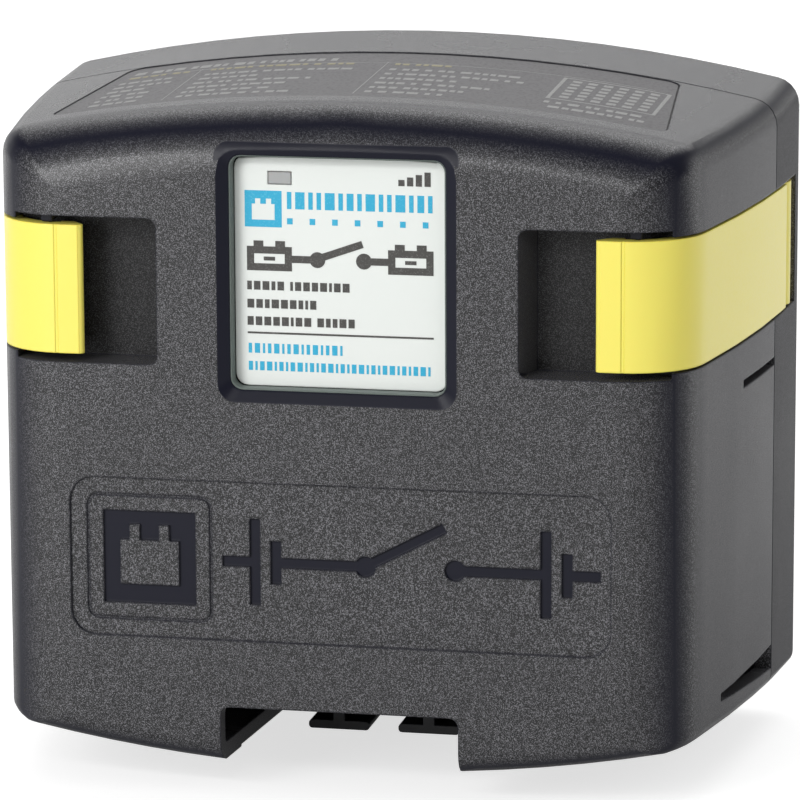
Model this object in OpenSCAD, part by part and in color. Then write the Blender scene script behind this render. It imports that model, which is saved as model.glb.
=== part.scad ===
// Battery isolator relay for a bulkhead: rear base, deep front cover held by two wrap-around
// latches, centre relay case with a face plate, two power studs and a sealed contactor inside.
// X runs to the right, the front faces -Y, Z is up. The origin is the middle of the lowest edge.

/* [Housing] */
// Width of the housing at the rear face
body_w = 104.4; // [100:0.1:110]
// Depth from the front face to the mounting face
body_d = 60; // [58:0.5:64]
// Height of the crowned top above the lowest edge, at the rear face
body_h = 95.1; // [93:0.1:99]
// How much lower the top is at the front face than at the rear face
top_rise = 3.1; // [1:0.1:5]
// How much higher the bottom is at the front face than at the rear face
bottom_rise = 4; // [2:0.1:4.5]
// Plan radius of the front corners
corner_r = 9.9; // [9:0.1:12]
// Radius along the front edge of the top
top_edge_r = 8; // [6:0.1:9]
// Radius along the front edge of the bottom
bottom_edge_r = 3; // [2.5:0.1:4]
// Radius of the two long edges of the top, from front to rear
top_long_r = 3.8; // [3:0.1:5]
// Radius of the two long edges of the bottom, from front to rear
bottom_long_r = 2.2; // [1.5:0.1:4]
// Radius of the bowed sides, seen from above
side_bow_r = 320; // [280:5:400]
// Place of the widest plane of the bow, behind the front face
side_bow_apex = 67; // [62:0.5:72]
// Radius of the crowned top, seen from the front
top_crown_r = 228; // [200:1:300]
// Radius of the crowned bottom, seen from the front
bottom_crown_r = 209; // [180:1:260]
// Wall of cover and base
wall = 2.4; // [2:0.1:2.6]
// Floor of the base, against the bulkhead
base_floor = 3; // [2.5:0.1:3.4]

/* [Seam] */
// Depth of the rear base, from the seam to the mounting face
base_d = 17; // [16:0.5:19]
// Gap between cover and base
seam_gap = 0.3; // [0.2:0.05:0.5]
// Height of the locating tongue of the base
tongue_l = 2.6; // [2:0.1:4]
// Thickness of the locating tongue
tongue_t = 1.5; // [1.2:0.1:2]

/* [Latches] */
// Height of a latch
latch_h = 17.1; // [15:0.1:18]
// Distance from the top of the housing to the upper edge of a latch
latch_drop = 18.8; // [17.5:0.1:20]
// Thickness of a latch
latch_t = 2.2; // [1.8:0.1:2.4]
// Gap round a latch in its channel
latch_gap = 0.35; // [0.3:0.05:0.5]
// How far a latch reaches over its finger recess
latch_lap = 9.6; // [8:0.1:10.5]
// Width of the rolled bead at the free end
bead_w = 3.4; // [2:0.1:4]
// Extra thickness of the bead
bead_t = 0.8; // [0.4:0.1:1]
// Distance from a hinge pin to the mounting face
hinge_back = 6; // [5.6:0.1:6.5]
// Radius of the hinge barrel of a latch
barrel_r = 3; // [2.8:0.1:3.1]
// Radius of a hinge pin
pin_r = 1.25; // [1:0.05:1.4]
// Running clearance of the hinge pin in the latch
pin_play = 0.05; // [0.02:0.01:0.1]
// Length of pin held in the base above and below the latch
pin_seat_l = 6; // [4:0.5:7]

/* [Finger recesses] */
// Flat between the bevel of the window and a recess
recess_land = 8.1; // [7:0.1:10]
// Distance from the outer edge of a recess to the side of the housing
recess_side = 8.6; // [8.2:0.1:10]
// Room above and below a latch in its recess
recess_room = 1.15; // [0.9:0.05:1.7]
// Depth of a recess
recess_d = 6; // [5:0.1:6.5]
// Run of the sloped inner wall of a recess
recess_slope = 1.4; // [0.5:0.1:3]
// Radius of the inner corners of a recess, seen from the front
recess_r = 1.2; // [0.6:0.1:1.8]

/* [Face window] */
// Width of the face plate
face_w = 28.2; // [26:0.1:30]
// Distance from the top of the housing to the top of the face plate
face_drop = 9.4; // [9:0.1:11]
// Flat between the sunk panel and the lower edge of the face plate
face_land = 12.5; // [11.5:0.1:13]
// Thickness of the face plate
face_t = 0.8; // [0.6:0.1:1]
// Corner radius of the face plate
face_r = 1.6; // [1:0.1:3]
// How deep the face plate lies behind the front face
face_d = 3; // [2.8:0.1:3.4]
// Gap between the face plate and the straight wall of the window
face_gap = 0.3; // [0.2:0.05:0.5]
// Width of the bevel round the window
bevel_w = 1.5; // [1:0.1:2]
// Width of the bevel along the top of the window
bevel_top_w = 2.4; // [1:0.1:2.6]
// Depth of the bevel round the window
bevel_d = 0.9; // [0.5:0.1:1.5]
// Width of the status light window
light_w = 3; // [2:0.1:4]
// Height of the status light window
light_h = 1.55; // [1:0.05:2]
// Distance of the status light left of the middle plane
light_x = 8.05; // [7:0.05:9]
// Distance of the status light below the top of the face plate
light_drop = 2.9; // [2.5:0.1:4]

/* [Front panel] */
// Distance from the sunk panel to the sides of the housing
panel_side = 16; // [15.7:0.1:19]
// Height of the sunk panel
panel_h = 21.4; // [18:0.1:23]
// Lower edge of the sunk panel
panel_z = 21.4; // [19:0.1:23]
// Corner radius of the sunk panel
panel_r = 3.3; // [2:0.1:5]
// Depth of the sunk panel
panel_d = 0.35; // [0.2:0.05:0.5]
// Depth of the signs below the panel's floor
sign_d = 0.35; // [0.2:0.05:0.5]
// Width and height of the framed picture sign
picture_w = 17; // [15:0.1:17.5]
// Width of the fine groove round the picture sign
groove_w = 0.35; // [0.25:0.05:0.6]
// Width and height of the pocket inside the frame
pocket_w = 12.5; // [11:0.1:13]
// Width of the raised battery in the pocket
battery_w = 8; // [6:0.1:9]
// Height of the raised battery, without its posts
battery_h = 6; // [5:0.1:7]
// Width of all bars of the signs
bar_w = 1.4; // [0.8:0.1:1.6]
// Height of the long plate of a cell sign
plate_h = 11.6; // [8:0.1:13]
// Length of the lever of the switch sign
lever_l = 12; // [8:0.5:14]
// Tilt of the lever of the switch sign
lever_tilt = 28; // [10:1:40]

/* [Top label] */
// Distance from the front corners of the top label to the sides of the housing
label_side = 11.2; // [10.2:0.1:14]
// How much narrower the top label is at the seam, on each side
label_taper = 2.7; // [0:0.1:4]
// Corner radius of the top label
label_r = 2; // [0.5:0.1:3]
// Front edge of the top label behind the front face
label_d = 11.5; // [10.5:0.1:14]
// Thickness of the top label
label_t = 0.2; // [0.15:0.01:0.25]
// Depth of the pocket that the top label lies in
label_pocket_d = 0.3; // [0.26:0.02:0.5]

/* [Cable ways] */
// Width of the wire notch in the bottom
notch_w = 32; // [28:0.5:33]
// Top of the wire notch
notch_z = 12.3; // [10.5:0.1:13]
// Radius of the upper corners of the wire notch
notch_r = 1.3; // [0.6:0.1:1.8]
// Height of the upper slot of a side break-out
slot_h = 1.1; // [0.8:0.1:1.5]
// Distance from the lower edge of a latch to the lower edge of the upper slot
upper_slot_drop = 6.6; // [5.7:0.1:8.7]
// Length of the upper slot in front of the seam
upper_slot_l = 17; // [13:0.5:21]
// Lower edge of the lower slot at the seam
lower_slot_z = 9.9; // [8:0.1:11]
// Height of the lower slot at the seam
lower_slot_h = 3.5; // [2:0.1:4]
// Length of the lower slot in front of the seam
lower_slot_l = 26.2; // [21:0.1:28]

/* [Power studs] */
// Thread radius of a stud, 3/8 in
stud_r = 4.7625; // [4:0.0001:5]
// Height of the studs and of the coil axis
stud_z = 33.6; // [32.8:0.1:34.4]
// Length of a stud in front of its nut
stud_free_l = 13.7; // [8:0.1:15]
// Height of a stud nut
nut_h = 8.3; // [6:0.1:9]
// Width across the flats of a stud nut and of the stud's head
nut_af = 14.3; // [13:0.1:16]
// Height of the stud's head
head_h = 4.5; // [3:0.1:5]
// Thickness of a lock washer
lock_t = 2.4; // [1.5:0.1:2.6]
// Radius of a lock washer
lock_r = 8.1; // [7.6:0.1:9]
// Thickness of a flat washer
flat_t = 1.6; // [1:0.1:2]
// Radius of a flat washer
flat_r = 9.5; // [9:0.1:10]
// Thickness of a bus bar
bus_t = 3; // [2:0.1:3.5]
// Width of the pad of a bus bar under the stud
bus_pad = 18; // [17:0.1:19]
// Width of the tongue of a bus bar
bus_tongue = 9; // [7:0.1:11]
// Distance from the rear face of a bus bar to the mounting face
bus_back = 13; // [12:0.1:14]

/* [Relay case] */
// Width of the relay case
case_w = 38; // [36:0.1:39]
// Bottom of the relay case
case_z = 15.6; // [15:0.1:16]
// Distance from the top of the housing to the top of the relay case
case_drop = 10; // [9.5:0.1:10.7]
// Front of the main part of the relay case behind the front face
case_d = 6; // [5.6:0.1:6.4]
// Wall of the relay case
case_t = 1.6; // [1.4:0.1:1.8]
// Width of a wire rail
rail_w = 8.5; // [7:0.1:9.5]
// Thickness of a wire rail
rail_t = 1.2; // [1:0.1:1.6]
// Bottom of the wire rails
rail_z = 2.3; // [2:0.1:3]
// Half distance between the webs of the wire rails
rail_x = 6.3; // [5.6:0.1:7.5]
// Length of the wire rails in front of the seam
rail_l = 15; // [11:0.5:19]
// Distance from the top of the relay case to its upper ears
ear_drop = 5.4; // [5:0.1:6]
// Radius of a case screw
screw_r = 1.5; // [1.2:0.05:1.8]
// Radius of a case screw's head
screw_head_r = 2.8; // [2.2:0.1:3.2]
// Height of a case screw's head
screw_head_h = 2; // [1.2:0.1:2.4]

/* [Mounting holes] */
// Distance from the mounting holes to the sides of the housing
mount_side = 14.2; // [13.2:0.1:16.2]
// Height of the lower mounting holes
mount_z = 14.1; // [13:0.1:15]
// Distance from the top of the housing to the upper mounting holes
mount_drop = 12; // [11:0.1:15]
// Radius of a mounting hole, for a No. 10 or M5 screw
mount_r = 2.65; // [2.4:0.05:3]
// Radius of the raised pad round a mounting hole
mount_pad_r = 4.8; // [4.4:0.1:5]

/* [Contactor] */
// Radius of the plunger
plunger_r = 6.12; // [5.5:0.01:6.4]
// Sliding clearance of the plunger in the bobbin
plunger_play = 0.08; // [0.03:0.01:0.1]
// Radius of the winding
winding_r = 12.6; // [11:0.1:13]
// Radius of a bobbin flange
flange_r = 13.4; // [13.1:0.1:13.8]
// Thickness of a bobbin flange and wall of its tube
bobbin_t = 1.2; // [1:0.1:1.4]
// Front of the magnet yoke behind the front face
yoke_d = 9.4; // [9.2:0.1:10]
// Thickness of the yoke plates
yoke_t = 2; // [1.5:0.1:2.4]
// Gap between plunger and fixed core
air_gap = 2; // [1.9:0.1:2.2]
// Radius of the push rod
rod_r = 1.6; // [1.3:0.05:1.8]
// Sliding clearance of the push rod in the core
rod_play = 0.06; // [0.02:0.01:0.1]
// Gap between moving and fixed contact tips
contact_gap = 2; // [1.9:0.05:2.2]
// Room for the contact spring between the magnet and the contact bridge
contact_room = 3.9; // [3.6:0.1:4.4]
// Half distance between the contact tips
tip_x = 9; // [8:0.1:10]
// Radius of a fixed contact tip
tip_r = 3; // [2.4:0.1:3.4]
// Height of a contact tip
tip_h = 1.1; // [0.8:0.1:1.4]
// Thickness of the contact bridge
bridge_t = 1.5; // [1.2:0.1:2]
// Width of the contact bridge
bridge_w = 6.4; // [5.5:0.1:8]
// Wire radius of the springs
spring_wire_r = 0.3; // [0.2:0.02:0.35]
// Mean radius of the return spring
return_spring_r = 2.6; // [2.4:0.05:2.8]
// Mean radius of the contact spring
contact_spring_r = 2.9; // [2.6:0.05:3.4]

/* [Electronics] */
// Gap between the circuit board and the side walls of the case
board_side = 1.9; // [1.2:0.1:3]
// Gap between the circuit board and the top of the case
board_room = 0.4; // [0.2:0.1:1]
// Thickness of the circuit board
board_t = 1.6; // [1:0.1:1.8]
// Gap between the magnet and the lower edge of the circuit board
board_gap = 2.9; // [2.6:0.1:3.2]
// Radius of a capacitor
cap_r = 5; // [4:0.1:6]
// Length of a capacitor
cap_l = 16; // [12:0.5:20]
// Width of a blade terminal
blade_w = 6.35; // [4.75:0.05:6.4]
// Thickness of a blade terminal
blade_t = 0.8; // [0.5:0.1:1]
// Length of a blade terminal below the case
blade_l = 6; // [4:0.5:7]

/* [Hidden] */
$fn = 48;

charcoal = [0.19, 0.19, 0.20];
latch_yellow = [0.98, 0.91, 0.35];
steel = [0.72, 0.73, 0.75];
copper = [0.80, 0.50, 0.32];

// Overrun of every cut past the face it starts from
over = 1;
// Thickness of one station of a lofted body
slice_t = 0.01;
// Fit between pieces that are pressed or seated in each other
seat_play = 0.02;
// Gap between loosely fitted pieces of one body
loose = 0.2;
// Place of a stud between the relay case and the side wall
stud_room_share = 5 / 11;
// Height of the lower ears between the stud boss and the upper ears
ear_room_share = 0.4475;
// Share of the magnet's length that the fixed core takes
core_share = 12 / 25;
// Counts of flat steps in the lofted curves
corner_steps = 8;
crown_steps = 8;
edge_steps = 5;
side_steps = 4;
spring_steps = 12;
// Turn of the rounding at the free end of a latch, in degrees
latch_end_turn = 72;
return_turns = 6;
contact_turns = 2;

// Housing outline, as functions of the distance f behind the front face and an inset
side_max = body_w / 2 + side_bow_r - sqrt(pow(side_bow_r, 2) - pow(side_bow_apex - body_d, 2));
bow_cx = side_max - side_bow_r;
corner_cx = bow_cx + sqrt(pow(side_bow_r - corner_r, 2) - pow(side_bow_apex - corner_r, 2));
tangent_share = (side_bow_apex - corner_r) / (side_bow_r - corner_r);
function bow_half(f) = bow_cx + sqrt(pow(side_bow_r, 2) - pow(side_bow_apex - f, 2));
function half_w(f, inset) =
    f < corner_r - (corner_r - inset) * tangent_share
        ? corner_cx + sqrt(max(0, pow(corner_r - inset, 2) - pow(corner_r - f, 2)))
        : bow_half(f) - inset;
function edge_drop(f, r, inset) = f < r ? r - sqrt(max(0, pow(r - inset, 2) - pow(r - f, 2))) : inset;
function top_at(f, inset) = body_h - top_rise * (1 - f / body_d) - edge_drop(f, top_edge_r, inset);
function bottom_at(f, inset) =
    bottom_rise * (1 - f / body_d) + edge_drop(f, bottom_edge_r, inset);
function edge_r_at(r, f, inset) =
    max(slice_t, r * sqrt(1 - pow(max(0, 1 - (f + inset) / corner_r), 2)) - inset);

// Points of one half of a crowned outline, from the side to the middle of the crown
function corner_drop(half, crown_r, r) = sqrt(pow(crown_r - r, 2) - pow(half - r, 2));
function crown_half_points(half, crown_r, r) =
    let (drop = corner_drop(half, crown_r, r), turn = atan2(drop, half - r))
    concat(
        [for (i = [0:edge_steps]) let (a = turn * i / edge_steps)
            [half - r + r * cos(a), drop - crown_r + r * sin(a)]],
        [for (i = [1:crown_steps]) let (a = turn + (90 - turn) * i / crown_steps)
            [crown_r * cos(a), crown_r * sin(a) - crown_r]]);

module half_outline(f, inset) {
    half = half_w(f, inset);
    upper = crown_half_points(half, top_crown_r, edge_r_at(top_long_r, f, inset));
    lower = crown_half_points(half, bottom_crown_r, edge_r_at(bottom_long_r, f, inset));
    polygon(concat([for (p = upper) [p[0], top_at(f, inset) + p[1]]],
                   [for (i = [len(lower) - 1:-1:0]) [lower[i][0], bottom_at(f, inset) - lower[i][1]]]));
}

module station(f, inset) {
    translate([0, f + slice_t, 0]) rotate([90, 0, 0]) linear_extrude(slice_t) {
        half_outline(f, inset);
        mirror([1, 0]) half_outline(f, inset);
    }
}

function stations(inset, f0, f1) =
    let (front = [for (i = [1:corner_steps]) corner_r - (corner_r - inset) * cos(90 * i / corner_steps)],
         side = [for (i = [1:side_steps]) corner_r + (body_d - corner_r) * i / side_steps])
    [for (f = concat(front, side)) if (f > f0 && f < f1 - slice_t) f];

// The housing's outer form between two planes, inset by a wall
module housing(inset, f0, f1) {
    hull() for (f = concat([f0], stations(inset, f0, f1), [f1 - slice_t])) station(f, inset);
}

module from_front() translate([0, -body_d / 2, 0]) children();
module both_sides() { children(); mirror([1, 0, 0]) children(); }

// A block given by its limits in X, in depth behind the front face and in Z
module block(x0, x1, f0, f1, z0, z1) {
    translate([x0, f0, z0]) cube([x1 - x0, f1 - f0, z1 - z0]);
}
// A cylinder along the depth
module rod_y(r, f0, f1, x = 0, z = 0) {
    translate([x, f1, z]) rotate([90, 0, 0]) cylinder(r = r, h = f1 - f0);
}
function round_points(x0, x1, z0, z1, r) =
    let (corners = [[x1 - r, z1 - r, 0], [x0 + r, z1 - r, 90], [x0 + r, z0 + r, 180], [x1 - r, z0 + r, 270]])
    [for (c = corners) for (i = [0:edge_steps])
        let (a = c[2] + 90 * i / edge_steps) [c[0] + r * cos(a), c[1] + r * sin(a)]];
// A flat drawing in X and Z, given thickness along the depth
module plate_y(f0, f1) {
    translate([0, f1, 0]) rotate([90, 0, 0]) linear_extrude(f1 - f0) children();
}
module round_plate(x0, x1, z0, z1, r, f0, f1) {
    plate_y(f0, f1) polygon(round_points(x0, x1, z0, z1, r));
}
module hex_y(af, f0, f1, x, z) {
    translate([x, f1, z]) rotate([90, 30, 0]) cylinder(r = af / sqrt(3), h = f1 - f0, $fn = 6);
}

// Derived places of the housing pieces
cover_d = body_d - base_d;
base_f0 = cover_d + seam_gap;
latch_top = body_h - latch_drop;
latch_z = latch_top - latch_h;
channel_d = latch_t + latch_gap;
recess_h = latch_h + 2 * recess_room;
recess_z = latch_z - recess_room;
recess_out_x = body_w / 2 - recess_side;
latch_end_x = recess_out_x - latch_lap;
hinge_d = body_d - hinge_back;
hinge_x = bow_half(hinge_d) - barrel_r - pin_play;
pocket_f0 = hinge_d - barrel_r - 2 * latch_gap;
pocket_f1 = hinge_d + barrel_r + 2 * latch_gap;
pocket_x = hinge_x - barrel_r - latch_gap;
band_end = hinge_d - barrel_r - latch_gap;
base_back = body_d - base_floor;

// Derived places of window, panel, label and cable ways
face_z = panel_z + panel_h + face_land;
face_top = body_h - face_drop;
opening_w = face_w / 2 + face_gap;
recess_in_x = opening_w + bevel_w + recess_land;
opening_z0 = face_z - face_gap;
opening_z1 = face_top + face_gap;
collar_d = face_d + face_t;
light_z = face_top - light_drop;
panel_w = body_w - 2 * panel_side;
panel_mid_z = panel_z + panel_h / 2;
picture_x = -panel_w / 2 + panel_h / 2;
sign_x0 = picture_x + picture_w / 2 + bar_w;
sign_x1 = panel_w / 2 - bar_w;
switch_x = (sign_x0 + sign_x1) / 2;
cell_span = sign_x1 - sign_x0 - plate_h;
label_w = body_w - 2 * label_side;
label_end = cover_d - seam_gap;
upper_slot_z = latch_z - upper_slot_drop;
upper_slot_d = cover_d - upper_slot_l;
lower_slot_d = cover_d - lower_slot_l;

// Derived places of studs, bus bars and mounting holes
stud_x = case_w / 2 + (body_w / 2 - wall - case_w / 2) * stud_room_share;
bus_d = body_d - bus_back;
bus_f0 = bus_d - bus_t;
flat_f0 = bus_f0 - flat_t;
lock_f0 = flat_f0 - lock_t;
nut_f0 = lock_f0 - nut_h;
stud_tip_d = nut_f0 - stud_free_l;
head_f0 = bus_d + wall;
bus_gap = tip_x - tip_r - loose;
boss_half = bus_pad / 2;
mount_x = body_w / 2 - mount_side;
mount_heights = [mount_z, body_h - mount_drop];

// Derived places of the case
case_top = body_h - case_drop;
rail_d = cover_d - rail_l;
nose_d = collar_d + seat_play;
nose_top = face_top - bevel_w;
socket_af = screw_head_r;
blade_pitch = blade_w + 2 * rail_t;
blade_d = rail_d - blade_w;
case_in = case_w / 2 - case_t;
ear_w = 2 * screw_head_r + loose * 4;
ear_f0 = base_back - 2 * base_floor - wall;
ear_f1 = ear_f0 + wall;
ear_x = case_w / 2 + ear_w / 2;
ear_high_z = case_top - ear_drop;
boss_top = stud_z + boss_half;
ear_heights = [boss_top + (ear_high_z - boss_top) * ear_room_share, ear_high_z];

// Derived places of the contactor
fixed_tip_f0 = bus_f0 - tip_h;
moving_tip_f1 = fixed_tip_f0 - contact_gap;
bridge_f1 = moving_tip_f1 - tip_h;
bridge_f0 = bridge_f1 - bridge_t;
yoke_f1 = bridge_f0 - contact_room;
yoke_top = stud_z + flange_r + yoke_t + loose;
core_l = (yoke_f1 - yoke_d) * core_share;
bobbin_f0 = yoke_d + yoke_t + loose;
bobbin_f1 = yoke_f1 - yoke_t - loose;
tube_in = plunger_r + plunger_play;
tube_out = tube_in + bobbin_t;
core_r = plunger_r - loose / 2;
core_f0 = yoke_f1 - core_l;
plunger_f1 = core_f0 - air_gap;
plunger_f0 = yoke_d - yoke_t / 2;
spring_seat_r = return_spring_r + spring_wire_r + loose;
spring_seat_l = core_l / 3;
spring_end = spring_wire_r + seat_play;
yoke_half = case_in - 2 * loose;
collar_r = contact_spring_r + spring_wire_r;
collar_f0 = yoke_f1 + loose;
collar_f1 = collar_f0 + bobbin_t / 2;
clip_f0 = bridge_f1 + seat_play;
clip_t = tip_h / 2;
clip_r = 2 * rod_r;
rod_f0 = plunger_f1 - 2 * spring_seat_l;
rod_f1 = clip_f0 + 2 * clip_t;

// Derived places of the electronics
board_z = yoke_top + board_gap;
board_w = case_w - 2 * (case_t + board_side);
board_h = case_top - case_t - board_room - board_z;
board_f0 = yoke_d;
board_f1 = board_f0 + board_t;
board_x = board_w / 2;
post_x = board_x - screw_head_r;
post_low = board_z + screw_head_r;
post_high = board_z + board_h - screw_head_r;
light_l = board_t;
lead_r = spring_wire_r * 3 / 2;
lead_x = winding_r + 2 * lead_r;
cap_x = cap_r + wall;
cap_z = board_z + board_h * 2 / 3;

module channel_band(extra) {
    both_sides() block(recess_out_x - wall, body_w, -over, body_d + over,
                       latch_z - latch_gap - extra, latch_top + latch_gap + extra);
}

module recess_plan(grow) {
    polygon([[recess_in_x - grow, -over], [recess_in_x - grow, 0],
             [recess_in_x - grow + recess_slope, recess_d + grow],
             [recess_out_x + grow, recess_d + grow], [recess_out_x + grow, -over]]);
}

module finger_recess(grow) {
    both_sides() intersection() {
        translate([0, 0, recess_z - grow]) linear_extrude(recess_h + 2 * grow) recess_plan(grow);
        round_plate(recess_in_x - grow, body_w, recess_z - grow, recess_z + recess_h + grow,
                    recess_r + grow, -2 * over, recess_d + grow + over);
    }
}

module window_opening() {
    round_plate(-opening_w, opening_w, opening_z0, opening_z1, face_r, -over, collar_d + over);
    hull() {
        round_plate(-opening_w, opening_w, opening_z0, opening_z1, face_r, bevel_d, bevel_d + slice_t);
        round_plate(-opening_w - bevel_w * 2, opening_w + bevel_w * 2, opening_z0 - bevel_w * 2,
                    opening_z1 + bevel_top_w * 2, face_r + bevel_w, -bevel_d - slice_t, -bevel_d);
    }
}

// Sign for one cell of a battery: a long and a short plate
module cell_sign(x) {
    translate([x - bar_w, panel_mid_z]) square([bar_w, plate_h], center = true);
    translate([x + bar_w, panel_mid_z]) square([bar_w, plate_h / 2], center = true);
}

module sign_bar(x0, x1) translate([x0, panel_mid_z - bar_w / 2]) square([x1 - x0, bar_w]);

// Two cells joined through an open switch
module circuit_sign() {
    cell_x0 = switch_x - cell_span / 2;
    cell_x1 = switch_x + cell_span / 2;
    cell_sign(cell_x0);
    cell_sign(cell_x1);
    sign_bar(sign_x0, cell_x0 - bar_w);
    sign_bar(cell_x0 + bar_w, switch_x - lever_l / 2);
    sign_bar(switch_x + lever_l / 2, cell_x1 - bar_w);
    sign_bar(cell_x1 + bar_w, sign_x1);
    for (s = [-1, 1]) translate([switch_x + s * lever_l / 2, panel_mid_z]) circle(r = bar_w);
    translate([switch_x - lever_l / 2, panel_mid_z]) rotate(lever_tilt) {
        translate([0, -bar_w / 2]) square([lever_l, bar_w]);
    }
}

// Pocket with a raised battery in it
module picture_sign() {
    translate([picture_x, panel_mid_z]) difference() {
        square([pocket_w, pocket_w], center = true);
        translate([0, -bar_w / 2]) square([battery_w, battery_h], center = true);
        for (s = [-1, 1]) translate([s * battery_w / 4, battery_h / 2]) {
            square([bar_w, bar_w * 2], center = true);
        }
    }
}

module frame_plate(inset, f0, f1) {
    half = picture_w / 2 - inset;
    round_plate(picture_x - half, picture_x + half, panel_mid_z - half, panel_mid_z + half,
                panel_r / 2 - inset, f0, f1);
}

module front_signs() {
    plate_y(0, panel_d + sign_d) {
        circuit_sign();
        picture_sign();
    }
    difference() {
        frame_plate(0, 0, panel_d + sign_d / 2);
        frame_plate(groove_w, -over, panel_d + sign_d);
    }
}

// Wedge-shaped lower slot that widens towards the seam
module lower_slot() {
    z1 = lower_slot_z + lower_slot_h;
    z_front = lower_slot_z + bottom_rise / 2;
    translate([bow_half(lower_slot_d) - wall * 3, 0, 0]) rotate([90, 0, 90])
        linear_extrude(wall * 6)
        polygon([[lower_slot_d, z_front], [cover_d + over, lower_slot_z],
                 [cover_d + over, z1], [lower_slot_d, z_front + slot_h]]);
}

// Plan of the top label; its rear edge lies at the seam
module label_area(grow) {
    linear_extrude(body_h * 2) offset(r = grow + label_r) polygon([
        [-label_w / 2 + label_r, label_d + label_r], [label_w / 2 - label_r, label_d + label_r],
        [label_w / 2 - label_taper - label_r, label_end - label_r],
        [-label_w / 2 + label_taper + label_r, label_end - label_r]]);
}

module front_cover() {
    color(charcoal) from_front() difference() {
        housing(0, 0, cover_d);
        difference() {
            housing(wall, wall, cover_d + over);
            difference() {
                channel_band(wall);
                housing(channel_d + wall, channel_d + wall, body_d);
            }
            intersection() {
                finger_recess(wall);
                block(-body_w, body_w, 0, recess_d + wall, 0, body_h);
            }
            block(-opening_w - wall, opening_w + wall, 0, face_d, opening_z0 - wall,
                  opening_z1 + wall);
        }
        difference() {
            channel_band(0);
            housing(channel_d, channel_d, body_d);
        }
        finger_recess(0);
        window_opening();
        round_plate(-panel_w / 2, panel_w / 2, panel_z, panel_z + panel_h, panel_r, -over, panel_d);
        front_signs();
        difference() {
            label_area(label_t);
            housing(label_pocket_d, label_pocket_d, body_d);
        }
        round_plate(-notch_w / 2, notch_w / 2, -notch_z, notch_z, notch_r, -over, cover_d + over);
        both_sides() {
            block(bow_half(upper_slot_d) - 2 * wall, body_w, upper_slot_d, cover_d + over,
                  upper_slot_z, upper_slot_z + slot_h);
            lower_slot();
        }
    }
}

module top_label() {
    color([0.16, 0.16, 0.17]) from_front() intersection() {
        difference() {
            housing(label_pocket_d - label_t, label_pocket_d, cover_d);
            housing(label_pocket_d, label_pocket_d, body_d);
        }
        translate([0, 0, body_h / 2]) label_area(0);
    }
}

module stud_boss(x) {
    block(x - boss_half, x + boss_half, bus_d, body_d - base_floor / 2,
          stud_z - boss_half, stud_z + boss_half);
}

module pin_rod(r) {
    translate([hinge_x, hinge_d, latch_z - pin_seat_l]) cylinder(r = r, h = latch_h + 2 * pin_seat_l);
}

module rear_base() {
    color(charcoal) from_front() difference() {
        union() {
            difference() {
                housing(0, base_f0, body_d);
                difference() {
                    housing(wall, base_f0 - over, base_back);
                    difference() {
                        channel_band(wall);
                        housing(channel_d + wall, base_f0 - over, body_d);
                    }
                    both_sides() {
                        block(pocket_x - wall, body_w, pocket_f0 - wall, body_d,
                              latch_z - pin_seat_l - latch_gap, latch_top + pin_seat_l + latch_gap);
                        stud_boss(stud_x);
                        for (z = mount_heights) {
                            rod_y(mount_pad_r, base_back - base_floor, body_d, mount_x, z);
                        }
                        for (z = ear_heights) {
                            rod_y(screw_head_r, ear_f1, body_d, ear_x, z);
                        }
                    }
                }
            }
            intersection() {
                difference() {
                    union() {
                        housing(wall + seam_gap, cover_d - tongue_l, base_f0 + wall);
                        housing(wall / 2, base_f0, base_f0 + wall);
                    }
                    housing(wall + seam_gap + tongue_t, cover_d - tongue_l - over, body_d);
                }
                block(-recess_out_x + corner_r, recess_out_x - corner_r, 0, body_d, body_h / 2, body_h);
            }
        }
        difference() {
            channel_band(0);
            housing(channel_d, base_f0 - over, body_d);
            both_sides() block(0, body_w, pocket_f0, body_d + over, 0, body_h);
        }
        both_sides() {
            block(pocket_x, body_w, pocket_f0, pocket_f1, latch_z - latch_gap, latch_top + latch_gap);
            pin_rod(pin_r + seat_play);
            for (z = mount_heights) {
                rod_y(mount_r, base_back - 2 * base_floor, body_d + over, mount_x, z);
            }
            for (z = ear_heights) {
                rod_y(screw_r + seat_play, ear_f0 - over, base_back + base_floor / 2, ear_x, z);
            }
            rod_y(stud_r + loose / 2, bus_d - over, body_d + over, stud_x, stud_z);
            hex_y(nut_af + loose, head_f0, body_d + over, stud_x, stud_z);
        }
    }
}

// Plan of a latch, with a rounded and undercut free end
module latch_plan() {
    polygon(concat(
        [for (i = [0:edge_steps]) let (a = 180 + latch_end_turn * i / edge_steps)
            [latch_end_x + bead_t + bead_t * cos(a), bead_t + bead_t * sin(a)]],
        [[latch_end_x + bead_t + bead_t * cos(180 + latch_end_turn), -over], [body_w, -over],
         [body_w, body_d], [latch_end_x + bead_w / 2, body_d],
         [latch_end_x + bead_w / 2, latch_t + bead_t]]));
}

module latch() {
    color(latch_yellow) from_front() difference() {
        union() {
            difference() {
                intersection() {
                    housing(0, 0, band_end);
                    translate([0, 0, latch_z]) linear_extrude(latch_h) latch_plan();
                }
                difference() {
                    housing(latch_t, latch_t, body_d);
                    block(latch_end_x - over, latch_end_x + bead_w, 0, latch_t + bead_t, 0, body_h);
                }
            }
            block(hinge_x, hinge_x + barrel_r - latch_t / 4, band_end - latch_gap / 2, hinge_d,
                  latch_z, latch_top);
            translate([hinge_x, hinge_d, latch_z]) cylinder(r = barrel_r, h = latch_h);
        }
        block(latch_end_x + bead_w, latch_end_x + bead_w + groove_w, -over, groove_w, 0, body_h);
        translate([hinge_x, hinge_d, 0]) cylinder(r = pin_r + pin_play, h = body_h);
    }
}
module latch_right() latch();
module latch_left() mirror([1, 0, 0]) latch();

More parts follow.
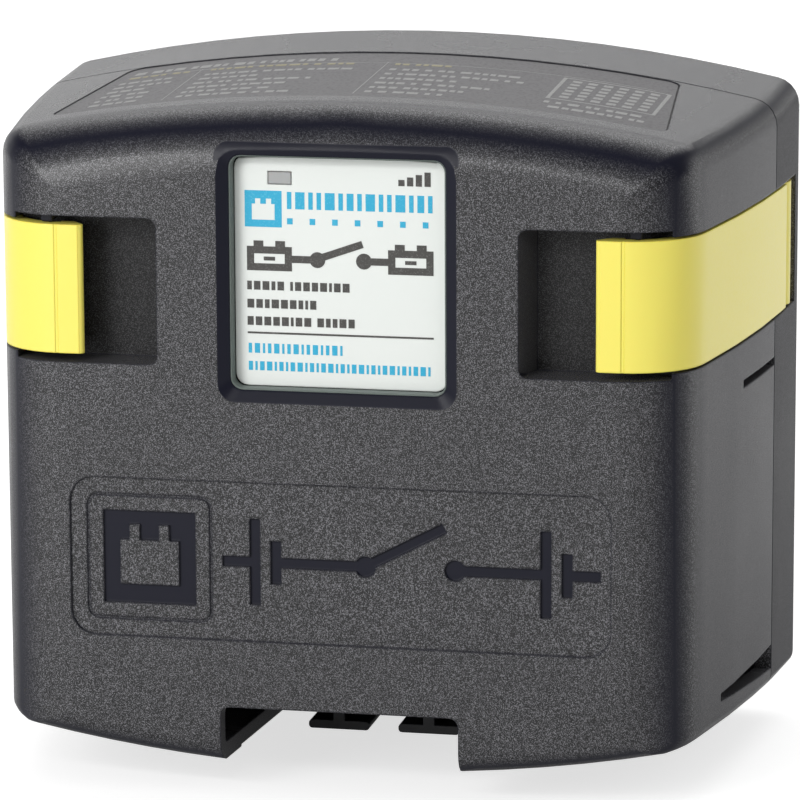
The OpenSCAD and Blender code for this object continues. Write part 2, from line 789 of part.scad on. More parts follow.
module hinge_pins() {
    color(steel) from_front() both_sides() {
        pin_rod(pin_r);
    }
}

module face_plate() {
    color([0.91, 0.93, 0.91]) from_front() difference() {
        intersection() {
            round_plate(-face_w / 2, face_w / 2, face_z, face_top, face_r, face_d, collar_d);
            translate([0, 0, face_top - top_crown_r]) rod_y(top_crown_r, 0, body_d, $fn = 360);
        }
        light_hole(loose / 2);
    }
}

module light_hole(grow) {
    block(-light_x - light_w / 2 - grow, -light_x + light_w / 2 + grow, -over, board_f0,
          light_z - light_h / 2 - grow, light_z + light_h / 2 + grow);
}

module status_window() {
    color([0.66, 0.67, 0.67]) from_front() {
        block(-light_x - light_w / 2, -light_x + light_w / 2, face_d, board_f0 - light_l - loose,
              light_z - light_h / 2, light_z + light_h / 2);
    }
}

module case_body() {
    block(-case_w / 2, case_w / 2, case_d, base_back, case_z, case_top);
    block(-face_w / 2 - loose, face_w / 2 + loose, nose_d, case_d + over, face_z, nose_top);
}

module relay_case() {
    color([0.15, 0.15, 0.16]) from_front() difference() {
        union() {
            difference() {
                case_body();
                block(-case_in, case_in, case_d + case_t, base_back + over, case_z + case_t,
                      case_top - case_t);
                block(-face_w / 2 + case_t, face_w / 2 - case_t, nose_d + case_t, case_d + 2 * case_t,
                      face_z + case_t, nose_top - case_t);
            }
            // Posts that carry the circuit board and pads that carry the yoke
            for (s = [-1, 1]) {
                for (z = [post_low, post_high]) {
                    rod_y(screw_r + case_t, case_d, board_f0 - seat_play, s * post_x, z);
                }
                for (z = [stud_z - winding_r, stud_z + winding_r]) {
                    block(s * winding_r - case_t, s * winding_r + case_t, case_d, yoke_d - seat_play,
                          z - case_t, z + case_t);
                }
            }
            // Ears for the case screws
            both_sides() for (z = ear_heights) {
                block(case_w / 2 - case_t / 2, ear_x + ear_w / 2, ear_f0, ear_f1,
                      z - ear_w / 2, z + ear_w / 2);
            }
            // T-shaped wire rails under the case
            for (s = [-1, 1]) {
                round_plate(s * rail_x - rail_w / 2, s * rail_x + rail_w / 2, rail_z, rail_z + rail_t,
                            rail_t * 2 / 5, rail_d, cover_d);
                block(s * rail_x - case_t / 2, s * rail_x + case_t / 2, rail_d, cover_d,
                      rail_z, case_z + case_t / 2);
            }
        }
        light_hole(loose / 2);
        both_sides() {
            for (z = ear_heights) {
                rod_y(screw_r + seat_play, ear_f0 - over, ear_f1 + over, ear_x, z);
            }
            block(case_in - over, case_w / 2 + over, bus_f0 - loose, bus_d + loose,
                  stud_z - bus_tongue / 2 - loose, stud_z + bus_tongue / 2 + loose);
        }
        for (i = [-1:1]) {
            block(i * blade_pitch - blade_w / 2 - loose / 2, i * blade_pitch + blade_w / 2 + loose / 2,
                  blade_d - blade_t - loose / 2, blade_d + loose / 2,
                  case_z - over, case_z + case_t + over);
        }
    }
}

module case_screws() {
    color(steel) from_front() both_sides() for (z = ear_heights) difference() {
        union() {
            rod_y(screw_r, ear_f0 - over, base_back + base_floor / 4, ear_x, z);
            rod_y(screw_head_r, ear_f0 - screw_head_h, ear_f0, ear_x, z);
        }
        hex_y(socket_af, ear_f0 - screw_head_h - over, ear_f0 - screw_head_h / 2, ear_x, z);
    }
}

module stud() {
    color(steel) from_front() {
        rod_y(stud_r, stud_tip_d + stud_r / 6, head_f0 + head_h / 2, stud_x, stud_z);
        translate([stud_x, stud_tip_d + stud_r / 6, stud_z]) rotate([90, 0, 0])
            cylinder(r1 = stud_r, r2 = stud_r * 5 / 6, h = stud_r / 6);
        hex_y(nut_af, head_f0 + seat_play, head_f0 + head_h, stud_x, stud_z);
    }
}
module stud_right() stud();
module stud_left() mirror([1, 0, 0]) stud();

module stud_nuts() {
    color(steel) from_front() both_sides() difference() {
        hex_y(nut_af, nut_f0, lock_f0, stud_x, stud_z);
        rod_y(stud_r + seat_play, nut_f0 - over, lock_f0 + over, stud_x, stud_z);
    }
}

module lock_washers() {
    color(steel) from_front() both_sides() difference() {
        rod_y(lock_r, lock_f0, flat_f0, stud_x, stud_z);
        rod_y(stud_r + loose, lock_f0 - over, flat_f0 + over, stud_x, stud_z);
        translate([stud_x, 0, stud_z]) rotate([0, 30, 0])
            block(0, lock_r * 2, lock_f0 - over, flat_f0 + over, -loose * 2, loose * 2);
    }
}

module flat_washers() {
    color(steel) from_front() both_sides() difference() {
        rod_y(flat_r, flat_f0, bus_f0, stud_x, stud_z);
        rod_y(stud_r + loose, flat_f0 - over, bus_f0 + over, stud_x, stud_z);
    }
}

module bus_bar() {
    color(copper) from_front() difference() {
        union() {
            block(stud_x - bus_pad / 2, stud_x + bus_pad / 2, bus_f0, bus_d,
                  stud_z - bus_pad / 2, stud_z + bus_pad / 2);
            block(bus_gap, stud_x, bus_f0, bus_d, stud_z - bus_tongue / 2, stud_z + bus_tongue / 2);
        }
        rod_y(stud_r + loose / 2, bus_f0 - over, bus_d + over, stud_x, stud_z);
    }
}
module bus_bar_right() bus_bar();
module bus_bar_left() mirror([1, 0, 0]) bus_bar();

module fixed_contacts() {
    color([0.85, 0.85, 0.82]) from_front() both_sides() {
        rod_y(tip_r, fixed_tip_f0, bus_f0, tip_x, stud_z);
    }
}

module moving_contacts() {
    color([0.85, 0.85, 0.82]) from_front() both_sides() {
        rod_y(tip_r - loose, bridge_f1, moving_tip_f1, tip_x, stud_z);
    }
}

module contact_bridge() {
    color(copper) from_front() difference() {
        block(-tip_x - tip_r, tip_x + tip_r, bridge_f0, bridge_f1,
              stud_z - bridge_w / 2, stud_z + bridge_w / 2);
        rod_y(rod_r + rod_play, bridge_f0 - over, bridge_f1 + over, 0, stud_z);
    }
}

module push_rod() {
    color(steel) from_front() {
        rod_y(rod_r, rod_f0, rod_f1, 0, stud_z);
        rod_y(collar_r, collar_f0, collar_f1, 0, stud_z);
    }
}

module rod_clip() {
    color(steel) from_front() difference() {
        rod_y(clip_r, clip_f0, clip_f0 + clip_t, 0, stud_z);
        rod_y(rod_r + seat_play, clip_f0 - over, clip_f0 + clip_t + over, 0, stud_z);
        block(-rod_r / 2, rod_r / 2, clip_f0 - over, clip_f0 + clip_t + over,
              stud_z - clip_r - over, stud_z);
    }
}

module plunger() {
    color([0.62, 0.63, 0.65]) from_front() difference() {
        rod_y(plunger_r, plunger_f0, plunger_f1, 0, stud_z);
        rod_y(spring_seat_r, plunger_f1 - spring_seat_l, plunger_f1 + over, 0, stud_z);
        rod_y(rod_r + seat_play, rod_f0, plunger_f1, 0, stud_z);
    }
}

module fixed_core() {
    color([0.62, 0.63, 0.65]) from_front() difference() {
        rod_y(core_r, core_f0, yoke_f1, 0, stud_z);
        rod_y(spring_seat_r, core_f0 - over, core_f0 + spring_seat_l, 0, stud_z);
        rod_y(rod_r + rod_play, core_f0 - over, yoke_f1 + over, 0, stud_z);
    }
}

// Least gap of a coil to itself, measured between points at least half a turn apart
function least_gap(points) =
    min([for (i = [0:len(points) - 1]) for (j = [i + spring_steps / 2:1:len(points) - 1])
        norm(points[i] - points[j])]) - 2 * spring_wire_r;

// A coil spring along the depth, as one swept tube
module coil_spring(r, f0, f1, turns) {
    sides = 6;
    n = turns * spring_steps;
    centre = [for (i = [0:n]) let (a = 360 * turns * i / n)
        [r * cos(a), f0 + (f1 - f0) * i / n, stud_z + r * sin(a)]];
    echo(least_gap_to_itself = least_gap(centre));
    rings = [for (i = [0:n]) let (a = 360 * turns * i / n)
        for (j = [0:sides - 1]) let (b = 360 * j / sides, ring_r = r + spring_wire_r * cos(b))
            [ring_r * cos(a), f0 + (f1 - f0) * i / n + spring_wire_r * sin(b), stud_z + ring_r * sin(a)]];
    faces = concat(
        [for (i = [0:n - 1]) for (j = [0:sides - 1]) let (k = (j + 1) % sides)
            [i * sides + j, i * sides + k, (i + 1) * sides + k]],
        [for (i = [0:n - 1]) for (j = [0:sides - 1]) let (k = (j + 1) % sides)
            [i * sides + j, (i + 1) * sides + k, (i + 1) * sides + j]],
        [for (j = [1:sides - 2]) [0, j + 1, j]],
        [for (j = [1:sides - 2]) [n * sides, n * sides + j, n * sides + j + 1]]);
    polyhedron(points = rings, faces = faces, convexity = 10);
}

module return_spring() {
    color(steel) from_front() {
        coil_spring(return_spring_r, plunger_f1 - spring_seat_l + spring_end,
                    core_f0 + spring_seat_l - spring_end, return_turns);
    }
}

module contact_spring() {
    color(steel) from_front() {
        coil_spring(contact_spring_r - spring_wire_r, collar_f1 + spring_end, bridge_f0 - spring_end,
                    contact_turns);
    }
}

module yoke_frame() {
    color([0.55, 0.56, 0.58]) from_front() difference() {
        union() {
            block(-yoke_half, yoke_half, yoke_d, yoke_d + yoke_t, stud_z - flange_r - yoke_t - loose,
                  stud_z + flange_r + yoke_t + loose);
            for (s = [-1, 1]) {
                z = stud_z + s * (flange_r + loose + yoke_t / 2);
                block(-winding_r, winding_r, yoke_d, yoke_f1 - yoke_t, z - yoke_t / 2, z + yoke_t / 2);
            }
        }
        rod_y(plunger_r + plunger_play, yoke_d - over, yoke_d + yoke_t + over, 0, stud_z);
    }
}

module yoke_plate() {
    color([0.55, 0.56, 0.58]) from_front() difference() {
        block(-yoke_half, yoke_half, yoke_f1 - yoke_t, yoke_f1, stud_z - flange_r - yoke_t - loose,
              stud_z + flange_r + yoke_t + loose);
        rod_y(core_r + seat_play, yoke_f1 - yoke_t - over, yoke_f1 + over, 0, stud_z);
    }
}

module coil_bobbin() {
    color([0.85, 0.83, 0.76]) from_front() difference() {
        union() {
            rod_y(tube_out, bobbin_f0, bobbin_f1, 0, stud_z);
            rod_y(flange_r, bobbin_f0, bobbin_f0 + bobbin_t, 0, stud_z);
            rod_y(flange_r, bobbin_f1 - bobbin_t, bobbin_f1, 0, stud_z);
        }
        rod_y(tube_in, bobbin_f0 - over, bobbin_f1 + over, 0, stud_z);
    }
}

module coil_winding() {
    color([0.72, 0.36, 0.18]) from_front() difference() {
        rod_y(winding_r, bobbin_f0 + bobbin_t, bobbin_f1 - bobbin_t, 0, stud_z);
        rod_y(tube_out, bobbin_f0, bobbin_f1, 0, stud_z);
    }
}

// Two leads from the winding up to the circuit board
module coil_leads() {
    lead_f = board_f1 + board_t * 2;
    lead_z = board_z + board_h / 8;
    color([0.72, 0.36, 0.18]) from_front() for (s = [-1, 1]) {
        translate([s * lead_x, lead_f, stud_z]) cylinder(r = lead_r, h = lead_z - stud_z);
        rod_y(lead_r, board_f1, lead_f + lead_r, s * lead_x, lead_z);
        translate([s * lead_x, lead_f, stud_z]) rotate([0, -90 * s, 0]) {
            cylinder(r = lead_r, h = 2 * lead_r);
        }
    }
}

module circuit_board() {
    color([0.10, 0.36, 0.20]) from_front() difference() {
        block(-board_x, board_x, board_f0, board_f1, board_z, board_z + board_h);
        for (s = [-1, 1]) for (z = [post_low, post_high]) {
            rod_y(screw_r / 2, board_f0 - over, board_f1 + over, s * post_x, z);
        }
    }
}

module status_light() {
    color([0.95, 0.75, 0.30]) from_front() {
        block(-light_x - light_w / 3, -light_x + light_w / 3, board_f0 - light_l, board_f0,
              light_z - light_h / 2, light_z + light_h / 2);
    }
}

module capacitors() {
    color([0.20, 0.24, 0.42]) from_front() for (s = [-1, 1]) {
        rod_y(cap_r, board_f1, board_f1 + cap_l, s * cap_x, cap_z);
    }
}

module control_chip() {
    chip_z = board_z + board_h / 6;
    color([0.12, 0.12, 0.12]) from_front() {
        block(-board_w / 8, board_w / 8, board_f1, board_f1 + board_t,
              chip_z - board_h / 8, chip_z + board_h / 8);
    }
}

module driver_transistor() {
    x = board_w / 4;
    z = board_z + board_h / 6;
    color([0.14, 0.14, 0.14]) from_front() {
        block(x - board_w / 10, x + board_w / 10, board_f1, board_f1 + board_t * 3 / 2,
              z - board_h / 10, z + board_h / 10);
    }
}

module resistors() {
    r = board_h / 40;
    color([0.78, 0.66, 0.48]) from_front() for (i = [0:2]) {
        translate([-board_w / 3, board_f1 + r, board_z + board_h / 12 + i * 4 * r]) rotate([0, 90, 0])
            cylinder(r = r, h = board_w * 3 / 20);
    }
}

module blade_terminals() {
    color([0.80, 0.78, 0.60]) from_front() for (i = [-1:1]) {
        x = i * blade_pitch;
        difference() {
            block(x - blade_w / 2, x + blade_w / 2, blade_d - blade_t, blade_d,
                  case_z - blade_l, case_z + case_t + 3 * loose);
            rod_y(blade_w / 8, 0, body_d, x, case_z - blade_l / 2);
        }
    }
}

rear_base();
front_cover();
top_label();
face_plate();
status_window();
latch_left();
latch_right();
hinge_pins();
relay_case();
case_screws();
stud_left();
stud_right();
stud_nuts();
lock_washers();
flat_washers();
bus_bar_left();
bus_bar_right();
fixed_contacts();
contact_bridge();
moving_contacts();
contact_spring();
push_rod();
rod_clip();
plunger();
return_spring();
fixed_core();
yoke_frame();
yoke_plate();
coil_bobbin();
coil_winding();
coil_leads();
circuit_board();
status_light();
capacitors();
control_chip();
driver_transistor();
resistors();
blade_terminals();
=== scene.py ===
"""Dresses the battery isolator relay: finishes, printed marks, threads, fasteners, studio."""
import itertools
import logging
import math
import random
from dataclasses import dataclass, field
from enum import Enum, IntEnum
from typing import Callable, ClassVar, Mapping, Optional, Sequence, Union

import bmesh
import bpy
from mathutils import Matrix, Vector
from mathutils.bvhtree import BVHTree


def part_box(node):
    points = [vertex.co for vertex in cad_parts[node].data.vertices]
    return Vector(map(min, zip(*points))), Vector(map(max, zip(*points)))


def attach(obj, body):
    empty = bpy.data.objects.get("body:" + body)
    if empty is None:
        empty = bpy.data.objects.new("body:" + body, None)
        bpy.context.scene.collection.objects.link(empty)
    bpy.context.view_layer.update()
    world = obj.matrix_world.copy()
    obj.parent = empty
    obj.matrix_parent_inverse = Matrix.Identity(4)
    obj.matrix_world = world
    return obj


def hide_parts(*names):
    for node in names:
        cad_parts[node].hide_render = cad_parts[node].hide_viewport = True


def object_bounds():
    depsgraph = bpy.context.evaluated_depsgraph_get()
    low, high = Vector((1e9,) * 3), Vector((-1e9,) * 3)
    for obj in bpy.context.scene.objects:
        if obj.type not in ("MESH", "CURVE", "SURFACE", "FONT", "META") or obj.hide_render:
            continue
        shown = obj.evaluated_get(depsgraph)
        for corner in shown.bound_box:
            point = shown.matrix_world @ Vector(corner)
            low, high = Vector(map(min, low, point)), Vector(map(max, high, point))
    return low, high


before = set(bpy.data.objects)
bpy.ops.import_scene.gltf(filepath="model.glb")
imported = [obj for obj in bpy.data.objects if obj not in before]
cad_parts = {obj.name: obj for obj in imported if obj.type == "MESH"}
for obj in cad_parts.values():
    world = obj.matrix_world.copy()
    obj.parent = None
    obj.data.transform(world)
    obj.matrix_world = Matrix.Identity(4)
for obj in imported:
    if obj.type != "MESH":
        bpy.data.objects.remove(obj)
CAD_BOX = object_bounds()

LOG = logging.getLogger("relay")
MM = 0.001
FRONT_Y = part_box("front_cover")[0][1]
BLACK = (0.0, 0.0, 0.0)
WHITE = (1.0, 1.0, 1.0)

# Edge angles in degrees below which a surface is shaded smooth
NODE_ANGLE = 26.0
PIECE_ANGLE = 30.0
THREAD_ANGLE = 24.0
SPRING_ANGLE = 50.0

# Millimetres within which corners become one, in a new piece and on every dressed surface
WELD = 0.0005
MERGE = 0.001

# Hexagon heads and nuts: steps round the axis, the end face as a share of the width, the
# chamfer in degrees, and the countersink of a bore in millimetres
HEX_STEPS = 72
HEX_LAND = 0.95
HEX_CHAMFER = 30.0
HEX_SINK = 0.4

Socket = bpy.types.NodeSocket
Sockets = Mapping[str, Socket]
Value = Union[float, Sequence[float], Socket]
Triple = tuple[float, float, float]
Colour = Triple
Point2 = tuple[float, float]
Span = tuple[float, float]
Shape = bmesh.types.BMesh
Row = Sequence[bmesh.types.BMVert]
Ring = Callable[[float], tuple[float, float]]


class Body(str, Enum):
    """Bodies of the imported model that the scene's own pieces ride on."""

    BASE = "base"
    COVER = "cover"
    LEFT_LATCH = "latch_l"
    RIGHT_LATCH = "latch_r"


class Axis(IntEnum):
    """Axes of the model: X to the right, Y to the rear, Z up."""

    X = 0
    Y = 1
    Z = 2


class Side(str, Enum):
    """Sides of the relay, seen from the front."""

    LEFT = "left"
    RIGHT = "right"

    @property
    def sign(self) -> int:
        """Sign of X on this side."""
        return -1 if self is Side.LEFT else 1

    @property
    def latch(self) -> Body:
        """Body of the latch on this side."""
        return Body.LEFT_LATCH if self is Side.LEFT else Body.RIGHT_LATCH


def depth(f: float) -> float:
    """Y in metres of a plane f millimetres behind the front face."""
    return FRONT_Y + f * MM


# Nodes

FLOAT = "NodeSocketFloat"
VECTOR = "NodeSocketVector"


def rgba(colour: Value) -> Value:
    """A constant colour with full alpha; a socket stays as it is."""
    return colour if isinstance(colour, bpy.types.NodeSocket) else (*colour, 1.0)


class Graph:
    """Short calls that add nodes to one node tree."""

    def __init__(self, tree: bpy.types.NodeTree) -> None:
        """Keeps the tree that the calls build in."""
        self.tree = tree

    def feed(self, socket: Socket, value: Value) -> None:
        """Feeds an input.

        Args:
            socket: the input.
            value: a socket to link, or a constant to set.
        """
        if isinstance(value, bpy.types.NodeSocket):
            self.tree.links.new(value, socket)
        else:
            socket.default_value = value

    def node(self, kind: str, inputs: Optional[dict] = None, **settings: object) -> bpy.types.Node:
        """Adds a node.

        Args:
            kind: Blender's name of the node type.
            inputs: values or sockets for its inputs, by name or number.
            settings: properties of the node.

        Returns:
            The new node.
        """
        made = self.tree.nodes.new(kind)
        for key, value in settings.items():
            setattr(made, key, value)
        for key, value in (inputs or {}).items():
            self.feed(made.inputs[key], value)
        return made

    def math(self, operation: str, a: Value, b: Value = 0.0) -> Socket:
        """Result of a Math node."""
        return self.node("ShaderNodeMath", {0: a, 1: b}, operation=operation).outputs[0]

    def product(self, first: Value, *others: Value) -> Value:
        """Numbers multiplied with each other.

        Args:
            first: the first number.
            others: the numbers to multiply it with.

        Returns:
            Their product.
        """
        for other in others:
            first = self.math("MULTIPLY", first, other)
        return first

    def invert(self, value: Value) -> Socket:
        """1 minus a number."""
        return self.math("SUBTRACT", 1.0, value)

    def vector_math(self, operation: str, a: Value, b: Value) -> Sockets:
        """Outputs of a Vector Math node with two inputs."""
        return self.node("ShaderNodeVectorMath", {0: a, 1: b}, operation=operation).outputs

    def smooth(self, value: Value, low: float, high: float) -> Socket:
        """0 before low, 1 past high, and a smooth step between them."""
        inputs = {"Value": value, "From Min": low, "From Max": high}
        return self.node("ShaderNodeMapRange", inputs, interpolation_type="SMOOTHSTEP").outputs[0]

    def spread(self, value: Value, low: float, high: float) -> Socket:
        """Stretches a value from 0 and 1 to low and high."""
        inputs = {"Value": value, "To Min": low, "To Max": high}
        return self.node("ShaderNodeMapRange", inputs).outputs[0]

    def blend(self, factor: Value, a: Value, b: Value) -> Socket:
        """Mixed number."""
        return self.node("ShaderNodeMix", {0: factor, 2: a, 3: b}, data_type="FLOAT").outputs[0]

    def mix(self, factor: Value, a: Value, b: Value, way: str = "MIX") -> Socket:
        """Mixed colour."""
        inputs = {0: factor, 6: rgba(a), 7: rgba(b)}
        return self.node("ShaderNodeMix", inputs, data_type="RGBA", blend_type=way).outputs[2]

    def tint(self, colour: Value, factor: Value) -> Socket:
        """Colour times a grey factor."""
        grey = self.node("ShaderNodeCombineXYZ", {0: factor, 1: factor, 2: factor}).outputs[0]
        return self.mix(1.0, colour, grey, "MULTIPLY")

    def noise(self, point: Value, scale: Value, detail: float = 2.0, roughness: float = 0.5) -> Socket:
        """Factor of a noise texture."""
        inputs = {"Vector": point, "Scale": scale, "Detail": detail, "Roughness": roughness}
        return self.node("ShaderNodeTexNoise", inputs).outputs[0]

    def split(self, vector: Value) -> Sequence[Socket]:
        """The three parts of a vector."""
        return self.node("ShaderNodeSeparateXYZ", {0: vector}).outputs

    def coordinates(self, output: str = "Object") -> Socket:
        """A texture coordinate; object position and normal stay on the surface as a body moves."""
        return self.node("ShaderNodeTexCoord").outputs[output]

    def mirrored(self, rays: Sockets) -> Socket:
        """1 for the rays that a glossy or clear surface sends out."""
        return self.math("MAXIMUM", rays["Is Glossy Ray"], rays["Is Transmission Ray"])

    def group(self, shared: "SharedGroup", **inputs: Value) -> Sockets:
        """Adds a shared node group.

        Args:
            shared: the group.
            inputs: values or sockets for its inputs, by name.

        Returns:
            The outputs of the new node.
        """
        made = self.tree.nodes.new("ShaderNodeGroup")
        made.node_tree = shared.tree()
        for key, value in inputs.items():
            self.feed(made.inputs[key], value)
        return made.outputs

    def bump(self, height: Value, distance: float, normal: Optional[Socket] = None) -> Socket:
        """Normal of a Bump node at full strength.

        Args:
            height: what it reads the relief from.
            distance: height of the relief in millimetres.
            normal: the normal that the relief is laid on.

        Returns:
            The new normal.
        """
        inputs: dict = {"Height": height, "Distance": distance * MM, "Strength": 1.0}
        if normal is not None:
            inputs["Normal"] = normal
        return self.node("ShaderNodeBump", inputs).outputs[0]


class SharedGroup:
    """A shader node group that is built once and serves several materials."""

    name: ClassVar[str]
    inputs: ClassVar[dict[str, str]]
    outputs: ClassVar[dict[str, str]]

    def tree(self) -> bpy.types.NodeTree:
        """Builds the group, or finds the one built before.

        Returns:
            The group's node tree.
        """
        found = bpy.data.node_groups.get(self.name)
        if found:
            return found
        tree = bpy.data.node_groups.new(self.name, "ShaderNodeTree")
        for way, sockets in (("INPUT", self.inputs), ("OUTPUT", self.outputs)):
            for key, kind in sockets.items():
                tree.interface.new_socket(name=key, in_out=way, socket_type=kind)
        source = tree.nodes.new("NodeGroupInput")
        sink = tree.nodes.new("NodeGroupOutput")
        for key, socket in self.fill(Graph(tree), source.outputs).items():
            tree.links.new(socket, sink.inputs[key])
        return tree

    def fill(self, graph: Graph, given: Sockets) -> dict[str, Socket]:
        """Adds the group's nodes.

        Args:
            graph: the group's nodes.
            given: its inputs, by name.

        Returns:
            The socket for each output, by name.
        """
        raise NotImplementedError


class MouldedGrain(SharedGroup):
    """Moulded grain: light specks and their height, for a grain of a given size."""

    name = "moulded_grain"
    inputs = {"Point": VECTOR, "Size": FLOAT}
    outputs = {"Speck": FLOAT, "Height": FLOAT}
    coarse_scale = 0.37
    speck_shares = (0.85, 0.15)
    speck_span = (0.49, 0.61)
    height_shares = (0.7, 0.3)

    def fill(self, graph: Graph, given: Sockets) -> dict[str, Socket]:
        """A fine and a coarse noise, mixed once for the specks and once for their height.

        Args:
            graph: the group's nodes.
            given: its inputs, by name.

        Returns:
            The socket for each output, by name.
        """
        scale = graph.math("DIVIDE", 1.0, given["Size"])
        fine = graph.noise(given["Point"], scale, roughness=0.65)
        coarse = graph.noise(given["Point"], graph.product(scale, self.coarse_scale), detail=1.0)
        speck, height = (graph.math("ADD", graph.product(fine, a), graph.product(coarse, b))
                         for a, b in (self.speck_shares, self.height_shares))
        return {"Speck": graph.smooth(speck, *self.speck_span), "Height": height}


class FlatFaces(SharedGroup):
    """Masks from the object normal: flat faces, faces that look up, faces that look aside."""

    name = "flat_faces"
    inputs = {"Normal": VECTOR}
    outputs = {"Flat": FLOAT, "Up": FLOAT, "Aside": FLOAT}
    flat_span = (0.68, 0.985)
    up_span = (0.93, 0.985)
    aside_span = (0.90, 0.985)

    def fill(self, graph: Graph, given: Sockets) -> dict[str, Socket]:
        """Compares the parts of the normal with the lengths that a flat face gives.

        Args:
            graph: the group's nodes.
            given: its inputs, by name.

        Returns:
            The socket for each output, by name.
        """
        parts = graph.split(given["Normal"])
        x, y, z = (graph.math("ABSOLUTE", part) for part in parts)
        largest = graph.math("MAXIMUM", graph.math("MAXIMUM", x, y), z)
        return {"Flat": graph.smooth(largest, *self.flat_span),
                "Up": graph.smooth(parts[Axis.Z], *self.up_span),
                "Aside": graph.smooth(x, *self.aside_span)}


class SoftEdges(SharedGroup):
    """Softened edges: a mask along edges and the rounded normal there."""

    name = "soft_edges"
    inputs = {"Radius": FLOAT}
    outputs = {"Edge": FLOAT, "Normal": VECTOR}
    samples = 4
    edge_span = (0.01, 0.16)

    def fill(self, graph: Graph, given: Sockets) -> dict[str, Socket]:
        """The edge is where the rounded normal leaves the plain one.

        Args:
            graph: the group's nodes.
            given: its inputs, by name.

        Returns:
            The socket for each output, by name.
        """
        rounded_normal = graph.node("ShaderNodeBevel", {"Radius": given["Radius"]},
                                    samples=self.samples).outputs[0]
        plain = graph.node("ShaderNodeNewGeometry").outputs["Normal"]
        alike = graph.vector_math("DOT_PRODUCT", rounded_normal, plain)["Value"]
        return {"Edge": graph.smooth(graph.invert(alike), *self.edge_span), "Normal": rounded_normal}


class SoftClouds(SharedGroup):
    """Broad, soft variation round 1, as handling and moulding leave it."""

    name = "soft_clouds"
    inputs = {"Point": VECTOR, "Scale": FLOAT, "Amount": FLOAT}
    outputs = {"Factor": FLOAT}

    def fill(self, graph: Graph, given: Sockets) -> dict[str, Socket]:
        """A broad noise, centred on 1.

        Args:
            graph: the group's nodes.
            given: its inputs, by name.

        Returns:
            The socket for each output, by name.
        """
        broad = graph.noise(given["Point"], given["Scale"], detail=3.0, roughness=0.55)
        swing = graph.product(graph.math("SUBTRACT", broad, 0.5), given["Amount"])
        return {"Factor": graph.math("ADD", 1.0, swing)}


class DrawnLines(SharedGroup):
    """Fine drawn or turned lines: tone and height, along a stretched position."""

    name = "drawn_lines"
    inputs = {"Point": VECTOR, "Stretch": VECTOR}
    outputs = {"Tone": FLOAT, "Height": FLOAT}
    tone_span = (0.25, 0.75)

    def fill(self, graph: Graph, given: Sockets) -> dict[str, Socket]:
        """A noise that is much longer along the lines than across them.

        Args:
            graph: the group's nodes.
            given: its inputs, by name.

        Returns:
            The socket for each output, by name.
        """
        stretched = graph.vector_math("MULTIPLY", given["Point"], given["Stretch"])
        lines = graph.noise(stretched[0], 1.0, detail=4.0, roughness=0.7)
        return {"Tone": graph.smooth(lines, *self.tone_span), "Height": lines}


# Finishes


@dataclass(frozen=True)
class Finish:
    """A surface finish; its material is built once and shared. Sizes are in millimetres."""

    name: str

    def material(self) -> bpy.types.Material:
        """Builds the material, or finds the one built before.

        Returns:
            The material of this finish.
        """
        found = bpy.data.materials.get(self.name)
        if found:
            return found
        made = bpy.data.materials.new(self.name)
        made.use_nodes = True
        made.node_tree.nodes.clear()
        graph = Graph(made.node_tree)
        shader = graph.node("ShaderNodeBsdfPrincipled")
        output = graph.node("ShaderNodeOutputMaterial")
        graph.feed(output.inputs["Surface"], shader.outputs[0])
        for key, value in self.paint(graph).items():
            graph.feed(shader.inputs[key], value)
        return made

    def paint(self, graph: Graph) -> dict[str, Value]:
        """Adds the nodes of this finish.

        Args:
            graph: the material's nodes.

        Returns:
            What feeds the shader, by the names of its inputs.
        """
        raise NotImplementedError


